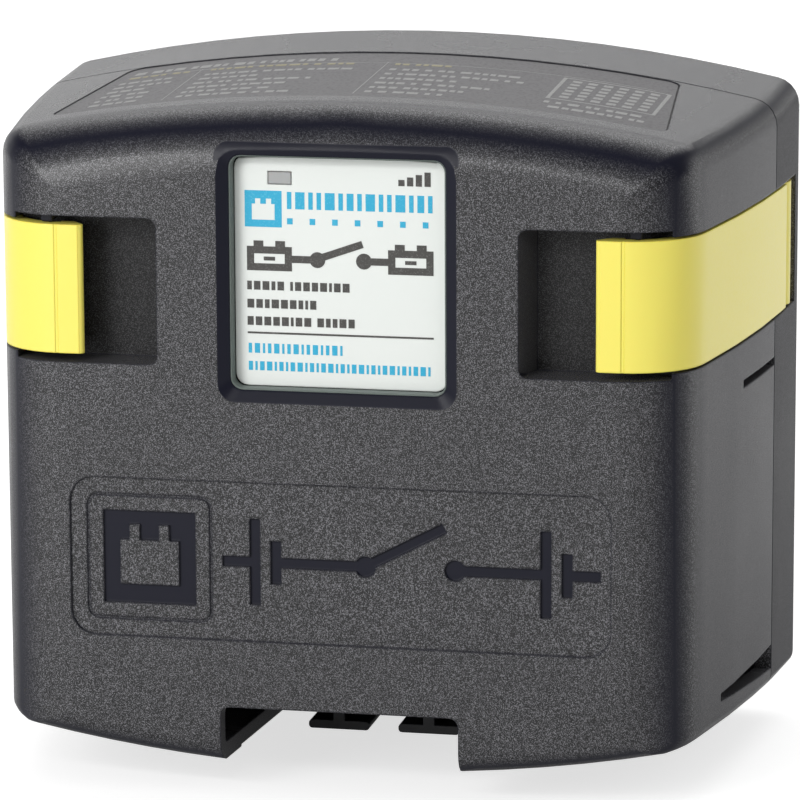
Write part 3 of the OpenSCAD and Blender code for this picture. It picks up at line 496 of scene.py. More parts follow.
@dataclass(frozen=True)
class GrainedPlastic(Finish):
    """Charcoal moulding with sparkling grain on flat faces and smooth satin fillets, whose colour is
    darkened and blued as painted shade.

    In the cover, the faces that look forward between the two depths of pocket, and the bevel
    round the window, are satin too, and the floors behind them are darkened with painted shade.
    """

    # Colours of the low and the high places of the grain, and of the smooth fillets, edges and pockets,
    # whose satin colour is made darker and bluer as painted shade
    dark: Colour = (0.005, 0.005, 0.006)
    light: Colour = (0.194, 0.192, 0.206)
    satin: Colour = (0.008, 0.0085, 0.018)
    # Size of a speck, height of the relief and radius of the rounded edges, which take the satin colour
    # with its painted shade
    grain: float = 0.135
    relief: float = 0.085
    edge_radius: float = 0.4
    # Roughness in front, at the sides, on the top and on the fillets
    rough: float = 0.50
    side_rough: float = 0.42
    top_rough: float = 0.27
    satin_rough: float = 0.36
    # Reflection of the plastic, and the sparkle of its grain
    gloss: float = 0.30
    glint: float = 0.70
    glint_rough: float = 0.30
    # Scale and amount of the soft variation over the whole surface
    cloud_scale: float = 45.0
    clouds: float = 0.35
    # Tone and share of the even colour on the top and the sides, where the grain shows less
    quiet_tone: float = 0.35
    quiet_share: float = 0.7
    # Depths between which sunk faces are satin, the fade at both, and the share of painted shade that
    # darkens the floors behind them
    pocket: Optional[Span] = None
    pocket_fade: float = 0.08
    painted_floor_shade: float = 0.68
    # Y of the normal where a face starts to count as forward, and where it fully does
    forward: Span = (-0.95, -0.99)
    # Gap between plate and window, and the distances between which its satin band ends
    window_gap: float = 0.3
    window_band: Span = (1.95, 1.65)

    def paint(self, graph: Graph) -> dict[str, Value]:
        """Grain where the face is flat and not sunk, satin elsewhere.

        Args:
            graph: the material's nodes.

        Returns:
            What feeds the shader, by the names of its inputs.
        """
        point, normal = graph.coordinates(), graph.coordinates("Normal")
        faces = graph.group(FlatFaces(), Normal=normal)
        grain = graph.group(MouldedGrain(), Point=point, Size=self.grain * MM)
        edges = graph.group(SoftEdges(), Radius=self.edge_radius * MM)
        clouds = graph.group(SoftClouds(), Point=point, Scale=self.cloud_scale,
                             Amount=self.clouds)["Factor"]
        open_face, shade = self.pockets(graph, point, normal) if self.pocket else (1.0, 1.0)
        mask = graph.product(faces["Flat"], graph.invert(edges["Edge"]), open_face)
        turned = graph.math("MAXIMUM", faces["Up"], faces["Aside"])
        specks = graph.mix(grain["Speck"], self.dark, self.light)
        quiet = graph.mix(self.quiet_tone, self.dark, self.light)
        # painted shade: the colour of the recess floors is darkened by shade
        grained = graph.tint(graph.mix(graph.product(turned, self.quiet_share), specks, quiet),
                             graph.product(clouds, shade))
        rough = graph.spread(faces["Aside"], self.rough, self.side_rough)
        rough = graph.blend(faces["Up"], rough, self.top_rough)
        rough = graph.blend(mask, self.satin_rough, rough)
        height = graph.product(grain["Height"], mask)
        return {
            # smooth satin colour on fillets, edges and pockets, darkened and blued as painted shade
            "Base Color": graph.mix(mask, self.satin, grained),
            "Roughness": graph.product(rough, clouds),
            "Normal": graph.bump(height, self.relief, edges["Normal"]),
            "Specular IOR Level": self.gloss,
            # painted shade on the recess floors also dims their glint
            "Coat Weight": graph.product(mask, graph.invert(turned), self.glint, shade),
            "Coat Roughness": self.glint_rough,
        }

    def pockets(self, graph: Graph, point: Socket, normal: Socket) -> tuple[Socket, Socket]:
        """Masks for the sunk faces of the cover.

        Args:
            graph: the material's nodes.
            point: object position.
            normal: object normal.

        Returns:
            0 on satin faces and 1 elsewhere, and the factor of painted shade on the floors behind them.
        """
        forward = graph.smooth(graph.split(normal)[Axis.Y], *self.forward)
        back = graph.split(point)[Axis.Y]
        behind, deep = (graph.smooth(back, depth(f), depth(f + self.pocket_fade)) for f in self.pocket)
        sunk = graph.product(graph.math("SUBTRACT", behind, deep), forward)
        bevel = graph.product(self.around_window(graph, point), graph.invert(forward))
        # painted shade: the floors behind the pockets, facing forward, are darkened
        shade = graph.invert(graph.product(deep, forward, self.painted_floor_shade))
        return graph.product(graph.invert(sunk), graph.invert(bevel)), shade

    def around_window(self, graph: Graph, point: Socket) -> Socket:
        """Mask of the face window with a rounded band round it.

        Args:
            graph: the material's nodes.
            point: object position.

        Returns:
            1 within the band and 0 outside it.
        """
        x, _, z = graph.split(point)
        low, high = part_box("face_plate")
        middle, half = (low[2] + high[2]) / 2, (high[2] - low[2]) / 2
        gap = self.window_gap * MM
        beside = graph.math("SUBTRACT", graph.math("ABSOLUTE", x), high[0] + gap)
        over = graph.math("ABSOLUTE", graph.math("SUBTRACT", z, middle))
        over = graph.math("SUBTRACT", over, half + gap)
        sides = [graph.math("MAXIMUM", side, 0.0) for side in (beside, over)]
        away = graph.math("SQRT", graph.math("ADD", *(graph.product(side, side) for side in sides)))
        return graph.smooth(away, *(edge * MM for edge in self.window_band))


@dataclass(frozen=True)
class SatinPlastic(Finish):
    """Plain moulded plastic with a fine skin and another tone along its edges."""

    colour: Colour
    edge: Colour
    edge_radius: float = 0.3
    # Roughness, and the factors between which the skin varies it
    rough: float = 0.36
    wave: Span = (0.92, 1.08)
    # Size and height of the skin's specks
    skin: float = 0.3
    relief: float = 0.006
    # Scale and amount of the soft variation
    cloud_scale: float = 60.0
    clouds: float = 0.10
    # Share and depth of the light that passes under the surface
    subsurface: float = 0.0
    scatter: float = 0.8

    def paint(self, graph: Graph) -> dict[str, Value]:
        """One colour with clouds, another tone along the edges and a fine skin.

        Args:
            graph: the material's nodes.

        Returns:
            What feeds the shader, by the names of its inputs.
        """
        point = graph.coordinates()
        edges = graph.group(SoftEdges(), Radius=self.edge_radius * MM)
        clouds = graph.group(SoftClouds(), Point=point, Scale=self.cloud_scale, Amount=self.clouds)
        grain = graph.group(MouldedGrain(), Point=point, Size=self.skin * MM)
        painted: dict[str, Value] = {
            "Base Color": graph.tint(graph.mix(edges["Edge"], self.colour, self.edge), clouds["Factor"]),
            "Roughness": graph.product(graph.spread(grain["Speck"], *self.wave), self.rough),
            "Normal": graph.bump(grain["Height"], self.relief, edges["Normal"]),
        }
        if self.subsurface:
            painted |= {"Subsurface Weight": self.subsurface, "Subsurface Scale": self.scatter * MM}
        return painted


@dataclass(frozen=True)
class PrintInk(Finish):
    """Printed ink: even colour with the small breaks and specks of a screen print."""

    colour: Colour
    thin: Colour
    # Roughness of full and of thin ink
    rough: float = 0.45
    thin_rough: float = 0.57
    # Scale of the mottle, and the values between which the ink thins out
    mottle_scale: float = 5200.0
    mottle_span: Span = (0.50, 0.78)

    def paint(self, graph: Graph) -> dict[str, Value]:
        """Ink with a fine mottle where it lies thin.

        Args:
            graph: the material's nodes.

        Returns:
            What feeds the shader, by the names of its inputs.
        """
        noise = graph.noise(graph.coordinates(), self.mottle_scale, roughness=0.6)
        mottle = graph.smooth(noise, *self.mottle_span)
        return {"Base Color": graph.mix(mottle, self.colour, self.thin),
                "Roughness": graph.spread(mottle, self.rough, self.thin_rough)}


@dataclass(frozen=True)
class Metal(Finish):
    """Bare or plated metal with drawn or turned lines, tarnish in the broad and bright edges."""

    colour: Colour
    stain: Colour
    # Roughness, and the factors between which the lines vary it
    rough: float = 0.3
    wave: Span = (0.75, 1.25)
    # Scale of the lines along X, Y and Z, and their height
    stretch: Triple = (900.0, 12000.0, 900.0)
    relief: float = 0.004
    # Scale of the stains, the values between which they set in, and their strength
    stain_scale: float = 320.0
    stain_span: Span = (0.42, 0.72)
    stain_share: float = 0.6
    # Width of the bright edges, and how many times brighter they are
    edge_radius: float = 0.2
    brighter: float = 1.15

    def paint(self, graph: Graph) -> dict[str, Value]:
        """Lines in height and roughness, stains in the colour.

        Args:
            graph: the material's nodes.

        Returns:
            What feeds the shader, by the names of its inputs.
        """
        point = graph.coordinates()
        edges = graph.group(SoftEdges(), Radius=self.edge_radius * MM)
        lines = graph.group(DrawnLines(), Point=point, Stretch=self.stretch)
        broad = graph.noise(point, self.stain_scale, detail=3.0, roughness=0.6)
        stains = graph.smooth(broad, *self.stain_span)
        body = graph.mix(graph.product(stains, self.stain_share), self.colour, self.stain)
        bright = tuple(min(1.0, part * self.brighter) for part in self.colour)
        return {"Base Color": graph.mix(edges["Edge"], body, bright),
                "Roughness": graph.spread(lines["Tone"], *(self.rough * part for part in self.wave)),
                "Normal": graph.bump(lines["Height"], self.relief, edges["Normal"]),
                "Metallic": 1.0}


@dataclass(frozen=True)
class WoundWire(Finish):
    """Enamelled wire laid turn beside turn along one axis."""

    # Distance between two turns, the axis that they follow, and their height
    pitch: float = 0.42
    axis: Axis = Axis.Y
    relief: float = 0.12
    # Colour and roughness in the gaps and on the wire, and where one gives way to the other; the dark
    # gap colour is painted shade between the turns
    gap: Colour = (0.05, 0.014, 0.006)
    wire: Colour = (0.55, 0.17, 0.06)
    gap_rough: float = 0.45
    wire_rough: float = 0.22
    gap_shade_span: Span = (0.0, 0.5)
    # Scale and amount of the soft variation
    cloud_scale: float = 260.0
    clouds: float = 0.5
    # How much of the copper shows as metal, and the enamel over it
    metal: float = 0.6
    coat: float = 0.4

    def paint(self, graph: Graph) -> dict[str, Value]:
        """Rounded turns with painted shade in the gaps between them.

        Args:
            graph: the material's nodes.

        Returns:
            What feeds the shader, by the names of its inputs.
        """
        point = graph.coordinates()
        turn = graph.math("FRACT", graph.math("DIVIDE", graph.split(point)[self.axis], self.pitch * MM))
        off = graph.product(graph.math("SUBTRACT", turn, 0.5), 2.0)
        crown = graph.invert(graph.product(off, off))
        clouds = graph.group(SoftClouds(), Point=point, Scale=self.cloud_scale, Amount=self.clouds)
        # painted shade: the gaps between the turns are coloured dark
        wire = graph.mix(graph.smooth(crown, *self.gap_shade_span), self.gap, self.wire)
        return {"Base Color": graph.tint(wire, clouds["Factor"]),
                "Roughness": graph.spread(crown, self.gap_rough, self.wire_rough),
                "Normal": graph.bump(crown, self.relief),
                "Metallic": self.metal,
                "Coat Weight": self.coat}


@dataclass(frozen=True)
class SolderResist(Finish):
    """Green board with copper tracks that show under the resist."""

    # Colour and roughness over the tracks and over the bare board
    track: Colour = (0.018, 0.110, 0.045)
    bare: Colour = (0.010, 0.062, 0.026)
    track_rough: float = 0.24
    bare_rough: float = 0.34
    # Scale of the cells, the distances from their edges between which a track ends, its height
    cell_scale: float = 330.0
    track_span: Span = (0.10, 0.14)
    relief: float = 0.03
    # Size and tones of the weave that shows through
    weave: float = 0.6
    weave_tones: Span = (0.85, 1.15)

    def paint(self, graph: Graph) -> dict[str, Value]:
        """Tracks from a stepped cell pattern, weave from a fine noise.

        Args:
            graph: the material's nodes.

        Returns:
            What feeds the shader, by the names of its inputs.
        """
        point = graph.coordinates()
        cells = graph.node("ShaderNodeTexVoronoi", {"Vector": point, "Scale": self.cell_scale},
                           distance="CHEBYCHEV", feature="DISTANCE_TO_EDGE").outputs[0]
        bare = graph.smooth(cells, *self.track_span)
        weave = graph.group(MouldedGrain(), Point=point, Size=self.weave * MM)
        colour = graph.mix(bare, self.track, self.bare)
        return {"Base Color": graph.tint(colour, graph.spread(weave["Speck"], *self.weave_tones)),
                "Roughness": graph.spread(bare, self.track_rough, self.bare_rough),
                "Normal": graph.bump(bare, self.relief)}


COVER_GRAIN = GrainedPlastic("charcoal_grained_cover", pocket=(0.5, 5.6))
BASE_GRAIN = GrainedPlastic("charcoal_grained_base", side_rough=0.60)
CASE_PLASTIC = SatinPlastic("dark_case_plastic", (0.020, 0.020, 0.023), (0.032, 0.032, 0.036),
                            rough=0.42, skin=0.35, relief=0.012, clouds=0.25)
LATCH_YELLOW = SatinPlastic("latch_yellow_plastic", (0.955, 0.840, 0.155), (0.900, 0.760, 0.075),
                            rough=0.34, skin=0.4, relief=0.004, clouds=0.03, subsurface=0.06)
LABEL_FILM = SatinPlastic("label_film", (0.060, 0.056, 0.062), (0.015, 0.015, 0.018),
                          rough=0.44, skin=0.45, relief=0.005, clouds=0.22)
PLATE_WHITE = SatinPlastic("plate_white", (0.800, 0.832, 0.800), (0.780, 0.812, 0.780),
                           rough=0.38, skin=0.9, relief=0.003, clouds=0.03)
# grey-green sheet on the window's wall: its colour is a painted reflection of the white plate
WALL_REFLECTION_GREY = SatinPlastic("painted_wall_reflection", (0.120, 0.150, 0.135), (0.17, 0.20, 0.185),
                         rough=0.45, relief=0.008, clouds=0.12)
DIFFUSER = SatinPlastic("status_diffuser", (0.400, 0.405, 0.405), (0.42, 0.42, 0.42),
                        rough=0.30, skin=0.25, relief=0.01, clouds=0.15, subsurface=0.1)
BOBBIN_PLASTIC = SatinPlastic("bobbin_nylon", (0.66, 0.61, 0.50), (0.72, 0.68, 0.58),
                              rough=0.45, skin=0.4, relief=0.01, clouds=0.12, subsurface=0.05)
CHIP_EPOXY = SatinPlastic("chip_epoxy", (0.016, 0.016, 0.017), (0.03, 0.03, 0.03),
                          rough=0.55, skin=0.15, relief=0.01, clouds=0.2)
RESISTOR_LACQUER = SatinPlastic("resistor_lacquer", (0.56, 0.40, 0.20), (0.60, 0.46, 0.26),
                                rough=0.3, relief=0.01, clouds=0.25)
SLEEVE_BLUE = SatinPlastic("capacitor_sleeve", (0.030, 0.045, 0.145), (0.10, 0.12, 0.22),
                           rough=0.28, skin=0.5, relief=0.004, clouds=0.15)
LAMP_AMBER = SatinPlastic("lamp_amber", (0.90, 0.52, 0.07), (0.95, 0.62, 0.15),
                          rough=0.15, skin=0.4, relief=0.002, subsurface=0.2)
INK_DARK = PrintInk("ink_dark", (0.062, 0.060, 0.055), (0.16, 0.155, 0.15))
INK_BLUE = PrintInk("ink_blue", (0.022, 0.405, 0.640), (0.10, 0.52, 0.70))
INK_PALE = PrintInk("ink_pale", (0.27, 0.27, 0.265), (0.12, 0.12, 0.12))
INK_STRAW = PrintInk("ink_straw", (0.27, 0.24, 0.12), (0.12, 0.11, 0.09))
STEEL_PLATED = Metal("steel_plated", (0.66, 0.67, 0.68), (0.42, 0.42, 0.43), rough=0.26)
STEEL_GROUND = Metal("steel_ground", (0.60, 0.61, 0.63), (0.44, 0.45, 0.46), rough=0.2,
                     stretch=(2600.0, 2600.0, 9000.0))
STUD_TIN = Metal("stud_tin", (0.68, 0.67, 0.64), (0.46, 0.45, 0.42))
SPRING_STEEL = Metal("spring_steel", (0.55, 0.56, 0.58), (0.36, 0.36, 0.38), rough=0.28)
COPPER_BAR = Metal("copper_bar", (0.86, 0.44, 0.26), (0.45, 0.22, 0.14), rough=0.28,
                   stretch=(500.0, 9000.0, 9000.0))
SILVER_TIP = Metal("silver_tip", (0.85, 0.84, 0.80), (0.50, 0.48, 0.45), rough=0.22)
SOFT_IRON = Metal("soft_iron", (0.45, 0.46, 0.48), (0.28, 0.27, 0.27), rough=0.38)
BLADE_TIN = Metal("blade_tin", (0.72, 0.70, 0.60), (0.48, 0.44, 0.34), rough=0.27,
                  stretch=(9000.0, 900.0, 600.0))
COIL_WIRE = WoundWire("coil_wire")
LEAD_WIRE = WoundWire("lead_wire", pitch=0.9, axis=Axis.Z)
BOARD_GREEN = SolderResist("board_resist")


# Mesh helpers


def smoothing_tree() -> bpy.types.NodeTree:
    """Geometry nodes that join doubled corners and shade smooth below an edge angle.

    Returns:
        The node tree, new or built before.
    """
    name = "smooth_below_angle"
    found = bpy.data.node_groups.get(name)
    if found:
        return found
    tree = bpy.data.node_groups.new(name, "GeometryNodeTree")
    for key, way, kind in (("Geometry", "INPUT", "NodeSocketGeometry"), ("Angle", "INPUT", FLOAT),
                           ("Geometry", "OUTPUT", "NodeSocketGeometry")):
        tree.interface.new_socket(name=key, in_out=way, socket_type=kind)
    graph = Graph(tree)
    source = tree.nodes.new("NodeGroupInput").outputs
    sink = tree.nodes.new("NodeGroupOutput").inputs
    joined = graph.node("GeometryNodeMergeByDistance",
                        {"Geometry": source["Geometry"], "Distance": MERGE * MM}).outputs[0]
    smoothed = graph.node("GeometryNodeSetShadeSmooth", {"Geometry": joined, "Shade Smooth": True},
                          domain="FACE").outputs[0]
    angle = graph.node("GeometryNodeInputMeshEdgeAngle").outputs[0]
    sharp = graph.node("FunctionNodeCompare", {0: angle, 1: source["Angle"]},
                       data_type="FLOAT", operation="GREATER_THAN").outputs[0]
    inputs = {"Geometry": smoothed, "Selection": sharp, "Shade Smooth": False}
    edged = graph.node("GeometryNodeSetShadeSmooth", inputs, domain="EDGE").outputs[0]
    tree.links.new(edged, sink[0])
    return tree


def soften(obj: bpy.types.Object, degrees: float) -> None:
    """Shades an object smooth over its shallow edges, with flat faces kept flat.

    Args:
        obj: the object.
        degrees: edge angle below which it is shaded smooth.
    """
    tree = smoothing_tree()
    step = obj.modifiers.new(tree.name, "NODES")
    step.node_group = tree
    key = next(item.identifier for item in tree.interface.items_tree if item.name == "Angle")
    step[key] = math.radians(degrees)
    weights = obj.modifiers.new("flat_faces_first", "WEIGHTED_NORMAL")
    weights.keep_sharp = True
    weights.weight = 100


def dress_node(node: str, finish: Finish, degrees: float = NODE_ANGLE) -> None:
    """Gives a CAD node its finish and smooth shading.

    Args:
        node: the node's name.
        finish: its finish.
        degrees: edge angle below which it is shaded smooth.
    """
    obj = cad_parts[node]
    material = finish.material()
    if not obj.material_slots:
        obj.data.materials.append(material)
    for holder in obj.material_slots:
        holder.material = material
    soften(obj, degrees)
    LOG.info("%s is dressed in %s", node, finish.name)


def place(name: str, shape: Shape, finish: Finish, body: Body,
          degrees: float = PIECE_ANGLE) -> bpy.types.Object:
    """Turns a built shape into a piece that rides on a body.

    Args:
        name: the piece's name.
        shape: closed shape in the model's frame, in metres; it is freed.
        finish: the piece's finish.
        body: the body that carries it.
        degrees: edge angle below which it is shaded smooth.

    Returns:
        The new object.
    """
    bmesh.ops.remove_doubles(shape, verts=shape.verts, dist=WELD * MM)
    bmesh.ops.recalc_face_normals(shape, faces=shape.faces)
    mesh = bpy.data.meshes.new(name)
    shape.to_mesh(mesh)
    shape.free()
    obj = bpy.data.objects.new(name, mesh)
    bpy.context.scene.collection.objects.link(obj)
    mesh.materials.append(finish.material())
    soften(obj, degrees)
    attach(obj, body.value)
    LOG.info("%s rides on %s", name, body.value)
    return obj


def add_row(shape: Shape, points: Sequence[Sequence[float]]) -> Row:
    """Adds one corner at each point, in metres."""
    return [shape.verts.new(point) for point in points]


def bridge(shape: Shape, first: Row, second: Row, closed: bool = True) -> None:
    """Joins two rows of corners with faces.

    Args:
        shape: where the faces are added.
        first: corners of the first row.
        second: corners of the second row, as many.
        closed: joins the last corners to the first ones too.
    """
    count = len(first)
    for i in range(count if closed else count - 1):
        j = (i + 1) % count
        shape.faces.new((first[i], first[j], second[j], second[i]))


def add_prism(shape: Shape, outline: Sequence[Point2], y0: float, y1: float) -> None:
    """Adds a closed prism along the depth.

    Args:
        shape: where it is added.
        outline: corners in X and Z, in millimetres.
        y0: front plane in metres.
        y1: rear plane in metres.
    """
    front, rear = (add_row(shape, [(x * MM, y, z * MM) for x, z in outline]) for y in (y0, y1))
    shape.faces.new(front)
    shape.faces.new(list(reversed(rear)))
    bridge(shape, rear, front)


def rectangle(x0: float, x1: float, z0: float, z1: float) -> list[Point2]:
    """Corners of an upright rectangle."""
    return [(x0, z0), (x1, z0), (x1, z1), (x0, z1)]


def hollow(x: Span, z: Span, wall: float) -> list[list[Point2]]:
    """Corners of the four bars of a rectangular frame.

    Args:
        x: left and right side.
        z: lower and upper side.
        wall: width of a bar.

    Returns:
        The lower, the upper, the left and the right bar.
    """
    inner = z[0] + wall, z[1] - wall
    return [rectangle(*x, z[0], inner[0]), rectangle(*x, inner[1], z[1]),
            rectangle(x[0], x[0] + wall, *inner), rectangle(x[1] - wall, x[1], *inner)]


def rounded(x: Span, z: Span, r: float, steps: int = 5) -> list[Point2]:
    """Corners of a rectangle with round corners.

    Args:
        x: left and right side.
        z: lower and upper side.
        r: radius of the corners.
        steps: number of steps in each corner.

    Returns:
        The points in order, from the lower right corner.
    """
    centres = [(x[1] - r, z[0] + r), (x[1] - r, z[1] - r), (x[0] + r, z[1] - r), (x[0] + r, z[0] + r)]
    points = []
    for quarter, (cx, cz) in enumerate(centres, -1):
        for i in range(steps + 1):
            turn = math.radians(90.0 * (quarter + i / steps))
            points.append((cx + r * math.cos(turn), cz + r * math.sin(turn)))
    return points


def disc(x: float, z: float, r: float, steps: int = 20) -> list[Point2]:
    """Corners of a circle."""
    turns = [math.tau * i / steps for i in range(steps)]
    return [(x + r * math.cos(turn), z + r * math.sin(turn)) for turn in turns]


def slanted(start: Point2, end: Point2, width: float) -> list[Point2]:
    """Corners of a bar between two points.

    Args:
        start: middle of its first end.
        end: middle of its second end.
        width: its width.

    Returns:
        The four corners in order.
    """
    a, b = Vector(start), Vector(end)
    along = (b - a).normalized()
    side = Vector((-along.y, along.x)) * width / 2
    return [tuple(corner) for corner in (a - side, b - side, b + side, a + side)]


def add_rings(shape: Shape, centre: Point2, rings: Sequence[Ring], steps: int, closed: bool) -> None:
    """Adds a turned shape whose rings may vary with the angle.

    Args:
        shape: where it is added.
        centre: X and Z of the axis, in metres.
        rings: each gives the radius and Y at an angle, in metres.
        steps: number of steps round the axis.
        closed: joins the last ring to the first; otherwise both ends are capped.
    """
    rows = []
    for ring in rings:
        points = []
        for i in range(steps):
            angle = math.tau * i / steps
            r, y = ring(angle)
            points.append((centre[0] + r * math.cos(angle), y, centre[1] + r * math.sin(angle)))
        rows.append(add_row(shape, points))
    for first, second in zip(rows, rows[1:]):
        bridge(shape, first, second)
    if closed:
        bridge(shape, rows[-1], rows[0])
    else:
        shape.faces.new(list(reversed(rows[0])))
        shape.faces.new(rows[-1])


def add_hexagon(shape: Shape, centre: Point2, flats: float, y: Span, bore: float = 0.0) -> None:
    """Adds a hexagon with turned chamfers at both ends and corners straight above and below.

    Args:
        shape: where it is added.
        centre: X and Z of the axis, in metres.
        flats: width across the flats, in metres.
        y: front and rear end, in metres.
        bore: radius of a countersunk bore, in metres; 0 leaves it solid.
    """
    sink = HEX_SINK * MM
    land = flats / 2 * HEX_LAND
    slope = math.tan(math.radians(HEX_CHAMFER))

    def rim(angle: float) -> float:
        """Distance from the axis to the rim."""
        turn = abs(angle % (math.pi / 3) - math.pi / 6)
        return flats / 2 / math.cos(turn - math.pi / 6)

    def drop(angle: float) -> float:
        """How far the chamfer has fallen at the rim."""
        return max(0.0, rim(angle) - land) * slope

    rings: list[Ring] = [
        lambda a: (land, y[0]), lambda a: (rim(a), y[0] + drop(a)),
        lambda a: (rim(a), y[1] - drop(a)), lambda a: (land, y[1]),
    ]
    if bore:
        rings += [lambda a: (bore + sink, y[1]), lambda a: (bore, y[1] - sink),
                  lambda a: (bore, y[0] + sink), lambda a: (bore + sink, y[0])]
    add_rings(shape, centre, rings, HEX_STEPS, bool(bore))


# Sub-assemblies


class SubAssembly:
    """Pieces and CAD nodes that are built and dressed together.

    Sizes and places are in millimetres: x and z in the model, f behind the front face.
    """

    finishes: ClassVar[dict[str, Finish]] = {}
    angle: ClassVar[float] = NODE_ANGLE

    def build(self) -> None:
        """Builds the pieces that are not CAD nodes; here there are none."""

    def dress(self) -> None:
        """Gives each of its CAD nodes a finish."""
        for node, finish in self.finishes.items():
            dress_node(node, finish, self.angle)


@dataclass
class Housing(SubAssembly):
    """Front cover and rear base, with the catch ribs of the finger recesses."""

    # Catch ribs: X on the right, Z and depth, and the radius of their corners
    rib_x: Span = (38.3, 39.8)
    rib_z: Span = (76.45, 77.7)
    rib_f: Span = (1.3, 5.2)
    rib_r: float = 0.3

    finishes = {
        "front_cover": COVER_GRAIN, "rear_base": BASE_GRAIN, "hinge_pins": STEEL_GROUND,
    }

    def build(self) -> None:
        """Adds a catch rib under the upper wall of each recess."""
        for side in Side:
            shape = bmesh.new()
            x = sorted(side.sign * edge for edge in self.rib_x)
            add_prism(shape, rounded(x, self.rib_z, self.rib_r), *map(depth, self.rib_f))
            place("catch_rib_" + side.value, shape, COVER_GRAIN, Body.COVER)


@dataclass
class Latches(SubAssembly):
    """The two yellow latches, each with a shallow step behind its bead."""

    # X where a latch ends, the width of its bead and of the groove behind it
    end_x: float = 34.0
    bead: float = 3.4
    groove: float = 0.35
    # The step: how far it runs into both walls, and how far it stays clear above and below
    overlap: float = 0.05
    margin: float = 0.01
    step_f: Span = (0.10, 0.45)

    finishes = {"latch_left": LATCH_YELLOW, "latch_right": LATCH_YELLOW}

    def build(self) -> None:
        """Fills most of the groove behind each bead, so that a shallow step is left."""
        start = self.end_x + self.bead - self.overlap
        end = start + self.groove + 2 * self.overlap
        for side in Side:
            node = "latch_" + side.value
            low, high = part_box(node)
            x = sorted(side.sign * edge for edge in (start, end))
            shape = bmesh.new()
            add_prism(shape, rectangle(*x, low[2] / MM + self.margin, high[2] / MM - self.margin),
                      *map(depth, self.step_f))
            place("latch_step_" + side.value, shape, LATCH_YELLOW, side.latch)


@dataclass(frozen=True)
class Bars:
    """A printed row of upright bars whose widths repeat until the row is full."""

    x: Span
    z: Span
    widths: tuple[float, ...]
    gap: float

    def outlines(self) -> list[list[Point2]]:
        """Places the bars from left to right.

        Returns:
            The corners of each bar.
        """
        made, x = [], self.x[0]
        for width in itertools.cycle(self.widths):
            if x + width > self.x[1]:
                return made
            made.append(rectangle(x, x + width, *self.z))
            x += width + self.gap


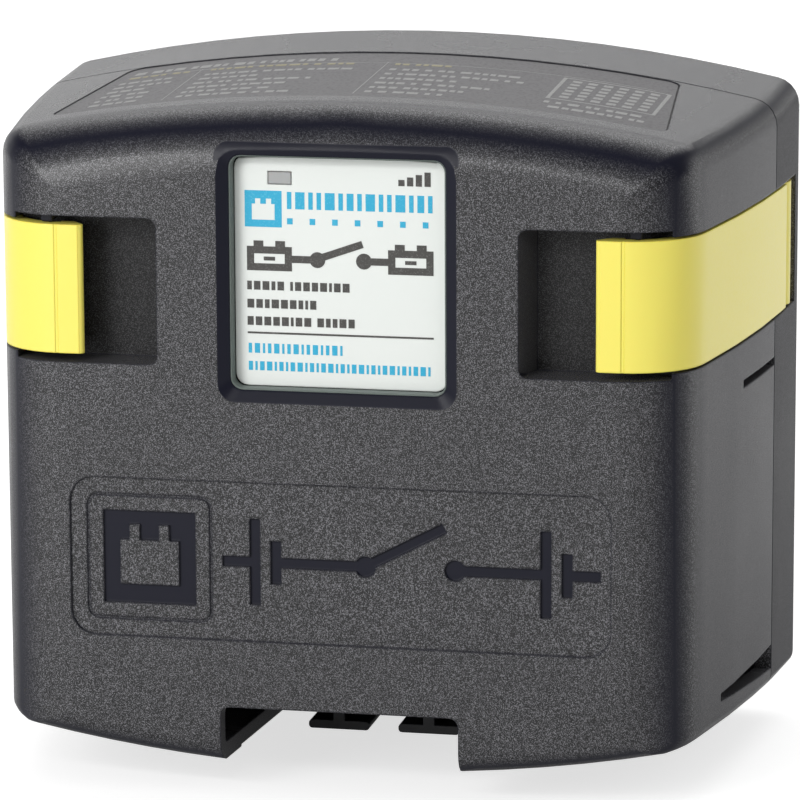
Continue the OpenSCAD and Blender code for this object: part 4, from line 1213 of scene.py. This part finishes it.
@dataclass
class FacePlate(SubAssembly):
    """White plate with a generic print, the status light's window, and a grey sheet round the plate
    whose colour is a painted reflection of the plate on the window's wall.
    """

    # Height of the ink on the plate, and of each form above the last
    ink: float = 0.02
    step: float = 0.0004
    # Sides of the dark print, and the width of its strokes
    left: float = -12.5
    right: float = 12.3
    stroke: float = 0.95
    # Blue square; heights of the white battery's body and posts, and X of a post from each side
    mark_x: Span = (-12.75, -7.8)
    mark_z: Span = (76.3, 81.1)
    mark_body: float = 3.05
    mark_posts: float = 3.75
    post_x: Span = (1.4, 2.1)
    blue_rows: tuple[Bars, ...] = (
        Bars((-7.1, 12.25), (78.75, 81.0), (0.6, 1.25, 0.6, 0.6, 1.3, 0.6, 0.9), 0.5),
        Bars((-7.1, 12.2), (76.75, 77.55), (0.75,), 2.25),
        Bars((-12.4, 0.7), (59.6, 60.9), (0.45, 0.7, 0.3), 0.38),
        Bars((-12.4, 12.5), (57.3, 58.5), (0.55, 0.3, 0.6, 0.7, 0.3), 0.33),
    )
    # Diagram: two batteries with their posts and poles, and an open contact between them
    cell_z: Span = (70.55, 73.75)
    cell_left: Span = (-12.5, -6.5)
    cell_right: Span = (6.3, 12.3)
    cell_post: Span = (0.9, 2.2)
    post_h: float = 0.75
    pole: Point2 = (0.75, 0.25)
    contact_x: float = 3.1
    contact_r: float = 1.05
    lead_x: float = 3.9
    arm_x: float = 2.9
    arm_z: Span = (0.2, 2.25)
    # Legend: the height and gaps of its dashes, each row's place and words, and the rule below
    legend_h: float = 1.15
    legend_gap: float = 0.3
    word_gap: float = 0.55
    legend: tuple[tuple[float, tuple[tuple[float, ...], ...]], ...] = (
        (68.0, ((0.6, 0.85, 0.9, 0.5, 0.85), (0.35, 0.8, 0.85, 0.8, 0.9, 0.35, 0.85, 0.9))),
        (65.6, ((0.9, 0.85, 0.6, 0.95, 0.9, 0.85, 0.6, 0.35, 0.8),)),
        (63.3, ((0.8, 0.85, 0.9, 0.85, 0.9, 0.35, 0.85, 0.9), (0.85, 0.6, 0.6, 0.9, 0.8))),
    )
    rule_z: Span = (62.18, 62.42)
    # Level marks, which grow from left to right
    level_x: float = 7.7
    level_z: float = 82.2
    level_w: float = 0.8
    level_pitch: float = 1.15
    levels: tuple[float, ...] = (0.8, 1.15, 1.5, 1.85)
    # Sheet of painted reflection on the window's wall: its reach past the plate, wall, corners and top;
    # front, inner front and rear
    reflection_reach: float = 0.27
    reflection_wall: float = 0.2
    reflection_r: float = 1.6
    reflection_top: float = 85.97
    reflection_f: Triple = (1.0, 1.12, 2.92)
    layer: int = field(default=0, init=False)

    finishes = {"face_plate": PLATE_WHITE, "status_window": DIFFUSER}

    def build(self) -> None:
        """Prints the plate: a battery mark, bars, an isolator diagram and a lamp legend."""
        self.print_blue()
        self.print_dark()
        self.add_wall_reflection()

    def stamp(self, shape: Shape, outline: Sequence[Point2]) -> None:
        """Adds one printed form; each lies a hair above the one before.

        Args:
            shape: where it is added.
            outline: its corners in X and Z.
        """
        self.layer += 1
        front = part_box("face_plate")[0][1]
        proud = self.ink + self.layer * self.step
        add_prism(shape, outline, front - proud * MM, front + self.ink * MM)

    def print_blue(self) -> None:
        """Blue square with a battery left white, and rows of blue bars."""
        (x0, x1), (z0, z1) = self.mark_x, self.mark_z
        body, posts = z0 + self.mark_body, z0 + self.mark_posts
        near, far = self.post_x
        lower = z0 + self.stroke
        shape = bmesh.new()
        for outline in (
            rectangle(x0, x1, z0, lower),
            rectangle(x0, x0 + self.stroke, lower, body),
            rectangle(x1 - self.stroke, x1, lower, body),
            rectangle(x0, x0 + near, body, posts),
            rectangle(x0 + far, x1 - far, body, posts),
            rectangle(x1 - near, x1, body, posts),
            rectangle(x0, x1, posts, z1),
        ):
            self.stamp(shape, outline)
        for row in self.blue_rows:
            for outline in row.outlines():
                self.stamp(shape, outline)
        place("face_print_blue", shape, INK_BLUE, Body.BASE)

    def print_dark(self) -> None:
        """Diagram of two batteries and an open contact, legend rows, a rule and level marks."""
        shape = bmesh.new()
        self.print_diagram(shape)
        for z, words in self.legend:
            x = self.left
            for word in words:
                for width in word:
                    self.stamp(shape, rectangle(x, x + width, z, z + self.legend_h))
                    x += width + self.legend_gap
                x += self.word_gap
        self.stamp(shape, rectangle(self.left, self.right, *self.rule_z))
        for i, height in enumerate(self.levels):
            x = self.level_x + i * self.level_pitch
            self.stamp(shape, rectangle(x, x + self.level_w, self.level_z, self.level_z + height))
        place("face_print_dark", shape, INK_DARK, Body.BASE)

    def print_diagram(self, shape: Shape) -> None:
        """Adds the sign of two batteries that an open contact joins.

        Args:
            shape: where it is added.
        """
        top = self.cell_z[1]
        middle = sum(self.cell_z) / 2
        near, far = self.cell_post
        for x in (self.cell_left, self.cell_right):
            centre = sum(x) / 2
            for outline in (
                *hollow(x, self.cell_z, self.stroke),
                rectangle(x[0] + near, x[0] + far, top, top + self.post_h),
                rectangle(x[1] - far, x[1] - near, top, top + self.post_h),
                rectangle(centre - self.pole[0], centre + self.pole[0],
                          middle - self.pole[1], middle + self.pole[1]),
            ):
                self.stamp(shape, outline)
        for x0, x1 in ((self.cell_left[1], -self.lead_x), (self.lead_x, self.cell_right[0])):
            self.stamp(shape, rectangle(x0, x1, middle - self.stroke / 2, middle + self.stroke / 2))
        for x in (-self.contact_x, self.contact_x):
            self.stamp(shape, disc(x, middle, self.contact_r))
        start, end = ((x, middle + z) for x, z in zip((-self.arm_x, self.arm_x), self.arm_z))
        self.stamp(shape, slanted(start, end, self.stroke))

    def add_wall_reflection(self) -> None:
        """Lines the straight wall of the window with a thin grey sheet, whose colour is a painted
        reflection of the white plate.
        """
        low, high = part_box("face_plate")
        edge = high[0] / MM + self.reflection_reach
        x, z = (-edge, edge), (low[2] / MM - self.reflection_reach, self.reflection_top)
        wall = self.reflection_wall
        outer = rounded(x, z, self.reflection_r)
        inner = rounded((x[0] + wall, x[1] - wall), (z[0] + wall, z[1] - wall), self.reflection_r - wall)
        front, inner_front, rear = map(depth, self.reflection_f)
        shape = bmesh.new()
        rows = [add_row(shape, [(px * MM, y, pz * MM) for px, pz in outline])
                for outline, y in ((outer, front), (outer, rear), (inner, rear), (inner, inner_front))]
        for first, second in zip(rows, rows[1:] + rows[:1]):
            bridge(shape, first, second)
        # the sheet carries a painted reflection of the plate on the charcoal wall
        place("window_wall_reflection", shape, WALL_REFLECTION_GREY, Body.COVER)


@dataclass(frozen=True)
class Column:
    """A column of the label's table: X of its heading and of its sides.

    Its rows end unevenly, between the two distances from its right side.
    """

    heading: Span
    left: float
    right: float
    uneven: Span


@dataclass
class TopLabel(SubAssembly):
    """Dark film on the top with a faint lamp table in generic marks."""

    # How far the ink stands above the film and reaches into it
    lift: float = 0.02
    sink: float = 0.04
    # Table: title, headings, rows and columns, and two notes under the square
    title_x: Span = (-36.5, -8.0)
    title_f: float = 37.0
    title_h: float = 1.9
    heading_f: float = 34.2
    rows_f: tuple[float, ...] = (30.4, 27.2, 24.0, 20.8, 17.6, 14.6)
    row_h: float = 1.25
    columns: tuple[Column, ...] = (
        Column((-36.5, -28.0), -37.0, -28.5, (-3.0, 0.5)),
        Column((-25.0, -4.0), -25.0, -9.0, (-7.0, 5.0)),
        Column((0.6, 9.0), 0.6, 14.0, (-5.0, 6.0)),
    )
    notes: tuple[tuple[Span, float], ...] = (((24.0, 37.5), 17.4), ((25.0, 38.0), 14.6))
    # Two upright rules and one across
    rules_x: tuple[float, ...] = (-26.6, -0.7)
    rule_w: float = 0.16
    rules_f: Span = (13.4, 36.0)
    cross_rule: tuple[Span, Span] = ((-37.0, 36.0), (35.3, 35.5))
    # Outlined square with a plain grid of dots
    square_x: Span = (23.8, 38.4)
    square_f: Span = (20.2, 34.6)
    square_wall: tuple[float, float] = (0.5, 0.4)
    dots: int = 6
    dot_at: Point2 = (25.3, 21.6)
    dot_w: float = 1.25
    dot_pitch: float = 2.1
    # Dashes: what their widths and gaps are drawn from
    dash_widths: tuple[float, ...] = (0.7, 0.9, 1.1, 1.5)
    dash_gaps: tuple[float, ...] = (0.35, 0.4, 0.9)
    seed: int = 11
    # Longest step of a patch in X and in depth, so that it follows the film
    patch_step: tuple[float, float] = (1.5, 6.0)
    pick: random.Random = field(init=False)
    surface: BVHTree = field(init=False)

    finishes = {"top_label": LABEL_FILM}

    def build(self) -> None:
        """Prints rows of dashes, rules and an outlined square on the crowned film."""
        self.pick = random.Random(self.seed)
        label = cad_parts["top_label"]
        film = bmesh.new()
        film.from_mesh(label.data)
        film.transform(label.matrix_world)
        self.surface = BVHTree.FromBMesh(film)
        film.free()
        pale, straw = bmesh.new(), bmesh.new()
        self.add_table(pale, straw)
        for x in self.rules_x:
            self.add_patch(pale, (x, x + self.rule_w), self.rules_f)
        self.add_patch(pale, *self.cross_rule)
        self.add_square(pale)
        place("label_print_pale", pale, INK_PALE, Body.COVER)
        place("label_print_straw", straw, INK_STRAW, Body.COVER)

    def add_table(self, pale: Shape, straw: Shape) -> None:
        """Adds the rows of dashes.

        Args:
            pale: where the title, the rows and the notes are added.
            straw: where the headings are added.
        """
        self.add_dashes(pale, self.title_x, self.title_f, self.title_h)
        for column in self.columns:
            self.add_dashes(straw, column.heading, self.heading_f, self.row_h)
        for f, column in itertools.product(self.rows_f, self.columns):
            end = column.right + self.pick.uniform(*column.uneven)
            self.add_dashes(pale, (column.left, end), f, self.row_h)
        for x, f in self.notes:
            self.add_dashes(pale, x, f, self.row_h)

    def add_square(self, shape: Shape) -> None:
        """Adds the outlined square with its plain grid of dots.

        Args:
            shape: where it is added.
        """
        (x0, x1), (f0, f1) = self.square_x, self.square_f
        across, along = self.square_wall
        low, high = f0 + along, f1 - along
        for x, f in (((x0, x1), (high, f1)), ((x0, x1), (f0, low)),
                     ((x0, x0 + across), (low, high)), ((x1 - across, x1), (low, high))):
            self.add_patch(shape, x, f)
        for row, column in itertools.product(range(self.dots), repeat=2):
            x, f = self.dot_at[0] + column * self.dot_pitch, self.dot_at[1] + row * self.dot_pitch
            self.add_patch(shape, (x, x + self.dot_w), (f, f + self.dot_w))

    def add_dashes(self, shape: Shape, across: Span, f: float, height: float) -> None:
        """Adds a row of short dashes with uneven lengths.

        Args:
            shape: where they are added.
            across: first and last X of the row.
            f: depth of its front edge.
            height: depth of a dash.
        """
        x, limit = across
        while True:
            width = self.pick.choice(self.dash_widths)
            if x + width > limit:
                return
            self.add_patch(shape, (x, x + width), (f, f + height))
            x += width + self.pick.choice(self.dash_gaps)

    def add_patch(self, shape: Shape, across: Span, along: Span) -> None:
        """Adds one thin closed patch of ink that follows the crowned film.

        Args:
            shape: where it is added.
            across: its sides in X.
            along: its front and rear edge.
        """
        steps, slices = (max(1, round((end - start) / step))
                         for (start, end), step in zip((across, along), self.patch_step))
        film = {}
        for i, j in itertools.product(range(steps + 1), range(slices + 1)):
            x = (across[0] + (across[1] - across[0]) * i / steps) * MM
            y = depth(along[0] + (along[1] - along[0]) * j / slices)
            hit = self.surface.ray_cast(Vector((x, y, 2 * CAD_BOX[1][2])), Vector((0, 0, -1)))[0]
            if hit is None:
                return
            film[i, j] = (x, y, hit.z)
        upper, lower = ({key: shape.verts.new((x, y, z + rise * MM)) for key, (x, y, z) in film.items()}
                        for rise in (self.lift, -self.sink))
        for i, j in itertools.product(range(steps), range(slices)):
            ring = ((i, j), (i + 1, j), (i + 1, j + 1), (i, j + 1))
            shape.faces.new([upper[key] for key in ring])
            shape.faces.new([lower[key] for key in reversed(ring)])
        rim = ([(i, 0) for i in range(steps)] + [(steps, j) for j in range(slices)]
               + [(i, slices) for i in range(steps, 0, -1)] + [(0, j) for j in range(slices, 0, -1)])
        bridge(shape, [lower[key] for key in rim], [upper[key] for key in rim])


@dataclass
class PowerStuds(SubAssembly):
    """Threaded studs with chamfered nuts, split washers and flat washers on copper bars."""

    # Thread, which ends short of the head's rear face
    thread_r: float = 4.7625
    thread_pitch: float = 1.5875
    thread_depth: float = 0.95
    thread_end: float = 2.2
    thread_steps: int = 36
    end_tolerance: float = 0.0001
    # One turn of the thread: share of the pitch, and height between root and crest
    profile: tuple[Point2, ...] = ((0.0, 1.0), (0.14, 1.0), (0.47, 0.0), (0.67, 0.0))
    # Taper of the tip: how far it starts within the root, and its rise for each unit of length
    tip_step: float = 0.15
    tip_slope: float = 1.2
    # Width across the flats of heads and nuts, and height of a head
    flats: float = 14.3
    head_h: float = 4.48
    # Split washers: inner and outer radius and broken corners
    washer_r: Span = (4.96, 8.1)
    washer_edge: float = 0.25
    washer_steps: int = 48
    # The split: its width and its place in degrees, and the slant of its ends in radians
    split: float = 9.0
    split_turn: float = 30.0
    split_slant: float = 0.05

    finishes = {
        "flat_washers": STEEL_PLATED, "bus_bar_left": COPPER_BAR, "bus_bar_right": COPPER_BAR,
    }

    def build(self) -> None:
        """Builds both sides from the boxes of the CAD nodes."""
        for side in Side:
            self.build_stud(side)
        self.build_nuts()
        self.build_split_washers()

    def axis(self, side: Side) -> Point2:
        """X and Z of a stud's axis, in metres."""
        low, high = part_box("stud_" + side.value)
        return (low[0] + high[0]) / 2, (low[2] + high[2]) / 2

    def build_stud(self, side: Side) -> None:
        """A stud with a rolled thread, a tapered tip and a hexagon head.

        Args:
            side: the side that it stands on.
        """
        node = "stud_" + side.value
        low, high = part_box(node)
        shape = bmesh.new()
        self.add_thread(shape, self.axis(side), low[1], high[1] - self.thread_end * MM)
        add_hexagon(shape, self.axis(side), self.flats * MM, (high[1] - self.head_h * MM, high[1]))
        piece = place("threaded_" + node, shape, STUD_TIN, Body.BASE, THREAD_ANGLE)
        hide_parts(node)

    def add_thread(self, shape: Shape, centre: Point2, y0: float, y1: float) -> None:
        """Adds a threaded rod that tapers at both ends.

        Args:
            shape: where it is added.
            centre: X and Z of its axis, in metres.
            y0: front end in metres.
            y1: rear end in metres.
        """
        pitch = self.thread_pitch * MM
        root = (self.thread_r - self.thread_depth) * MM
        tip = root - self.tip_step * MM
        rows = []
        for turn in range(-1, math.ceil((y1 - y0) / pitch) + 1):
            for share, height in self.profile:
                points = []
                for i in range(self.thread_steps + 1):
                    y = y0 + (turn + share + i / self.thread_steps) * pitch
                    y = min(max(y, y0), y1)
                    r = min(root + self.thread_depth * MM * height,
                            tip + (y - y0) * self.tip_slope, tip + (y1 - y) * self.tip_slope)
                    angle = math.tau * i / self.thread_steps
                    points.append((centre[0] + r * math.cos(angle), y, centre[1] + r * math.sin(angle)))
                rows.append(add_row(shape, points))
        for first, second in zip(rows, rows[1:]):
            bridge(shape, first, second, closed=False)
        bmesh.ops.remove_doubles(shape, verts=shape.verts, dist=MERGE * MM)
        bmesh.ops.dissolve_degenerate(shape, edges=shape.edges, dist=MERGE * MM)
        near = self.end_tolerance * MM
        for y in (y0, y1):
            loop = [edge for edge in shape.edges
                    if edge.is_boundary and all(abs(corner.co.y - y) < near for corner in edge.verts)]
            if loop:
                bmesh.ops.holes_fill(shape, edges=loop, sides=0)

    def build_nuts(self) -> None:
        """Chamfered hexagon nuts."""
        low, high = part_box("stud_nuts")
        shape = bmesh.new()
        for side in Side:
            add_hexagon(shape, self.axis(side), self.flats * MM, (low[1], high[1]), self.thread_r * MM)
        piece = place("chamfered_nuts", shape, STEEL_PLATED, Body.BASE)
        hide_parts("stud_nuts")

    def build_split_washers(self) -> None:
        """Split spring washers of square wire with broken corners."""
        low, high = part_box("lock_washers")
        y0, y1, cut = low[1], high[1], self.washer_edge * MM
        inner, outer = (r * MM for r in self.washer_r)
        section = [(inner, y0 + cut), (inner + cut, y0), (outer - cut, y0), (outer, y0 + cut),
                   (outer, y1 - cut), (outer - cut, y1), (inner + cut, y1), (inner, y1 - cut)]
        gap = math.radians(self.split)
        start = gap / 2 - math.radians(self.split_turn)
        shape = bmesh.new()
        for side in Side:
            cx, cz = self.axis(side)
            rows = []
            for i in range(self.washer_steps + 1):
                turn = start + (math.tau - gap) * i / self.washer_steps
                slant = {0: self.split_slant, self.washer_steps: -self.split_slant}.get(i, 0.0)
                points = []
                for r, y in section:
                    angle = turn + slant * (y - y0) / (y1 - y0)
                    points.append((cx + r * math.cos(angle), y, cz + r * math.sin(angle)))
                rows.append(add_row(shape, points))
            for first, second in zip(rows, rows[1:]):
                bridge(shape, first, second)
            shape.faces.new(list(reversed(rows[0])))
            shape.faces.new(rows[-1])
        piece = place("split_washers", shape, SPRING_STEEL, Body.BASE)
        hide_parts("lock_washers")


@dataclass
class RelayCase(SubAssembly):
    """The centre case with its screws, control blades and wire rails."""

    finishes = {"relay_case": CASE_PLASTIC, "case_screws": STEEL_PLATED, "blade_terminals": BLADE_TIN}


@dataclass
class Contactor(SubAssembly):
    """Magnet, coil and contacts inside the case."""

    finishes = {
        "plunger": SOFT_IRON, "fixed_core": SOFT_IRON, "yoke_frame": SOFT_IRON, "yoke_plate": SOFT_IRON,
        "fixed_contacts": SILVER_TIP, "moving_contacts": SILVER_TIP, "push_rod": STEEL_GROUND,
        "contact_bridge": COPPER_BAR, "coil_bobbin": BOBBIN_PLASTIC, "coil_winding": COIL_WIRE,
        "coil_leads": LEAD_WIRE,
    }


@dataclass
class Springs(SubAssembly):
    """The wound springs and the clip of the push rod."""

    finishes = {"return_spring": SPRING_STEEL, "contact_spring": SPRING_STEEL, "rod_clip": SPRING_STEEL}
    angle = SPRING_ANGLE


@dataclass
class Electronics(SubAssembly):
    """Circuit board and its parts inside the case."""

    finishes = {
        "circuit_board": BOARD_GREEN, "control_chip": CHIP_EPOXY, "driver_transistor": CHIP_EPOXY,
        "resistors": RESISTOR_LACQUER, "capacitors": SLEEVE_BLUE, "status_light": LAMP_AMBER,
    }


# Studio


@dataclass(frozen=True)
class Softbox:
    """A soft rectangular lamp. Places and sizes are in metres."""

    name: str
    at: Triple
    size: tuple[float, float]
    watts: float
    aim_z: float

    def add(self) -> None:
        """Adds the lamp, turned towards a point on the relay's middle line."""
        data = bpy.data.lights.new(self.name, "AREA")
        data.shape, data.energy = "RECTANGLE", self.watts
        data.size, data.size_y = self.size
        lamp = bpy.data.objects.new(self.name, data)
        aim = Vector((0.0, 0.0, self.aim_z)) - Vector(self.at)
        turn = aim.to_track_quat("-Z", "Y").to_matrix().to_4x4()
        lamp.matrix_world = Matrix.Translation(Vector(self.at)) @ turn
        bpy.context.scene.collection.objects.link(lamp)


@dataclass
class Studio:
    """Pale floor, soft lamps, white surroundings and the camera.

    Places are in metres and angles in radians.
    """

    # Camera: the point in its middle, its direction, distance and lens
    look_at: Triple = (0.008432, -0.030, 0.054642)
    azimuth: float = 0.2098
    pitch: float = 0.1999
    roll: float = -0.0043
    distance: float = 0.643885
    lens: float = 223.6635
    sensor: float = 36.0
    clip: Span = (0.01, 20.0)
    # Floor: tones and grain, how white it shows, and the Y between which mirrors start to see that
    floor_size: float = 4.0
    floor_tones: Span = (0.53, 0.57)
    floor_grain: float = 900.0
    floor_rough: float = 0.8
    floor_shown: float = 0.68
    floor_rear: Span = (-0.1, 0.3)
    # World: its grey light, and its tone in mirrors: dim in front, white low at the rear,
    # with a loss at the right; each pair gives the parts of the direction where a change runs
    ambient: float = 0.52
    front_shine: float = 0.04
    shine_rear: Span = (0.05, 0.55)
    shine_low: Span = (0.33, 0.56)
    shine_aside: Span = (-0.05, 0.25)
    aside_loss: float = 0.62
    lamps: tuple[Softbox, ...] = (
        Softbox("top_softbox", (0.0, 0.55, 0.75), (0.9, 0.6), 3.0, 0.06),
        Softbox("front_softbox", (-0.38, -0.63, 0.27), (0.34, 0.40), 2.75, 0.06),
        Softbox("strip_softbox", (-0.16, -0.78, 0.56), (0.7, 0.12), 1.8, 0.08),
        Softbox("side_softbox", (0.80, 0.45, 0.35), (0.5, 0.6), 1.0, 0.05),
    )

    def build(self) -> None:
        """Adds camera, floor, lamps and world."""
        self.add_camera()
        self.add_floor()
        for lamp in self.lamps:
            lamp.add()
        self.add_world()
        bpy.context.scene.view_settings.view_transform = "Standard"

    def add_camera(self) -> None:
        """Camera at the photograph's angle."""
        a, t = self.azimuth, self.pitch
        forward = Vector((-math.sin(a) * math.cos(t), math.cos(a) * math.cos(t), -math.sin(t)))
        right = Vector((math.cos(a), math.sin(a), 0.0))
        up = right.cross(forward)
        c, s = math.cos(self.roll), math.sin(self.roll)
        across, above = right * c + up * s, up * c - right * s
        data = bpy.data.cameras.new("camera")
        data.lens, data.sensor_width = self.lens, self.sensor
        data.clip_start, data.clip_end = self.clip
        camera = bpy.data.objects.new("camera", data)
        turn = Matrix((across, above, -forward)).transposed().to_4x4()
        camera.matrix_world = Matrix.Translation(Vector(self.look_at) - forward * self.distance) @ turn
        bpy.context.scene.collection.objects.link(camera)
        bpy.context.scene.camera = camera

    def add_floor(self) -> None:
        """A wide pale floor that keeps the shadow and shows white to the camera."""
        half = self.floor_size / 2
        shape = bmesh.new()
        shape.faces.new(add_row(shape, [(x, y, 0.0) for x, y in rectangle(-half, half, -half, half)]))
        mesh = bpy.data.meshes.new("floor")
        shape.to_mesh(mesh)
        shape.free()
        floor = bpy.data.objects.new("floor", mesh)
        bpy.context.scene.collection.objects.link(floor)
        mesh.materials.append(self.floor_material())

    def floor_material(self) -> bpy.types.Material:
        """Pale matt surface, with white from the camera and in mirrors behind the relay.

        Returns:
            The new material.
        """
        material = bpy.data.materials.new("pale_floor")
        material.use_nodes = True
        graph = Graph(material.node_tree)
        inputs = material.node_tree.nodes["Principled BSDF"].inputs
        grain = graph.noise(graph.coordinates(), self.floor_grain)
        graph.feed(inputs["Base Color"], graph.mix(grain, *((tone,) * 3 for tone in self.floor_tones)))
        graph.feed(inputs["Roughness"], self.floor_rough)
        rays = graph.node("ShaderNodeLightPath").outputs
        rear = graph.smooth(graph.split(graph.coordinates())[Axis.Y], *self.floor_rear)
        seen = graph.math("MAXIMUM", rays["Is Camera Ray"], graph.product(graph.mirrored(rays), rear))
        graph.feed(inputs["Emission Color"], graph.mix(seen, BLACK, WHITE))
        graph.feed(inputs["Emission Strength"], self.floor_shown)
        return material

    def add_world(self) -> None:
        """White to the camera, and soft grey light with a dimmer front for the relay."""
        world = bpy.data.worlds.new("studio_world")
        bpy.context.scene.world = world
        world.use_nodes = True
        world.node_tree.nodes.clear()
        graph = Graph(world.node_tree)
        rays = graph.node("ShaderNodeLightPath").outputs
        x, y, z = graph.split(graph.coordinates("Generated"))
        aside = graph.product(graph.smooth(x, *self.shine_aside), self.aside_loss)
        low = graph.invert(graph.smooth(z, *self.shine_low))
        behind = graph.product(graph.smooth(y, *self.shine_rear), low, graph.invert(aside))
        shine = graph.mix(graph.spread(behind, self.front_shine, 1.0), BLACK, WHITE)
        lit = graph.mix(graph.mirrored(rays), (self.ambient,) * 3, shine)
        colour = graph.mix(rays["Is Camera Ray"], lit, WHITE)
        back = graph.node("ShaderNodeBackground", {"Color": colour, "Strength": 1.0}).outputs[0]
        graph.feed(graph.node("ShaderNodeOutputWorld").inputs["Surface"], back)


def main() -> None:
    """Builds and dresses the relay in its studio."""
    logging.basicConfig(level=logging.INFO, format="%(name)s: %(message)s")
    Studio().build()
    for part in (Housing(), Latches(), FacePlate(), TopLabel(), PowerStuds(), RelayCase(),
                 Contactor(), Springs(), Electronics()):
        part.build()
        part.dress()


if __name__ == "__main__":
    main()
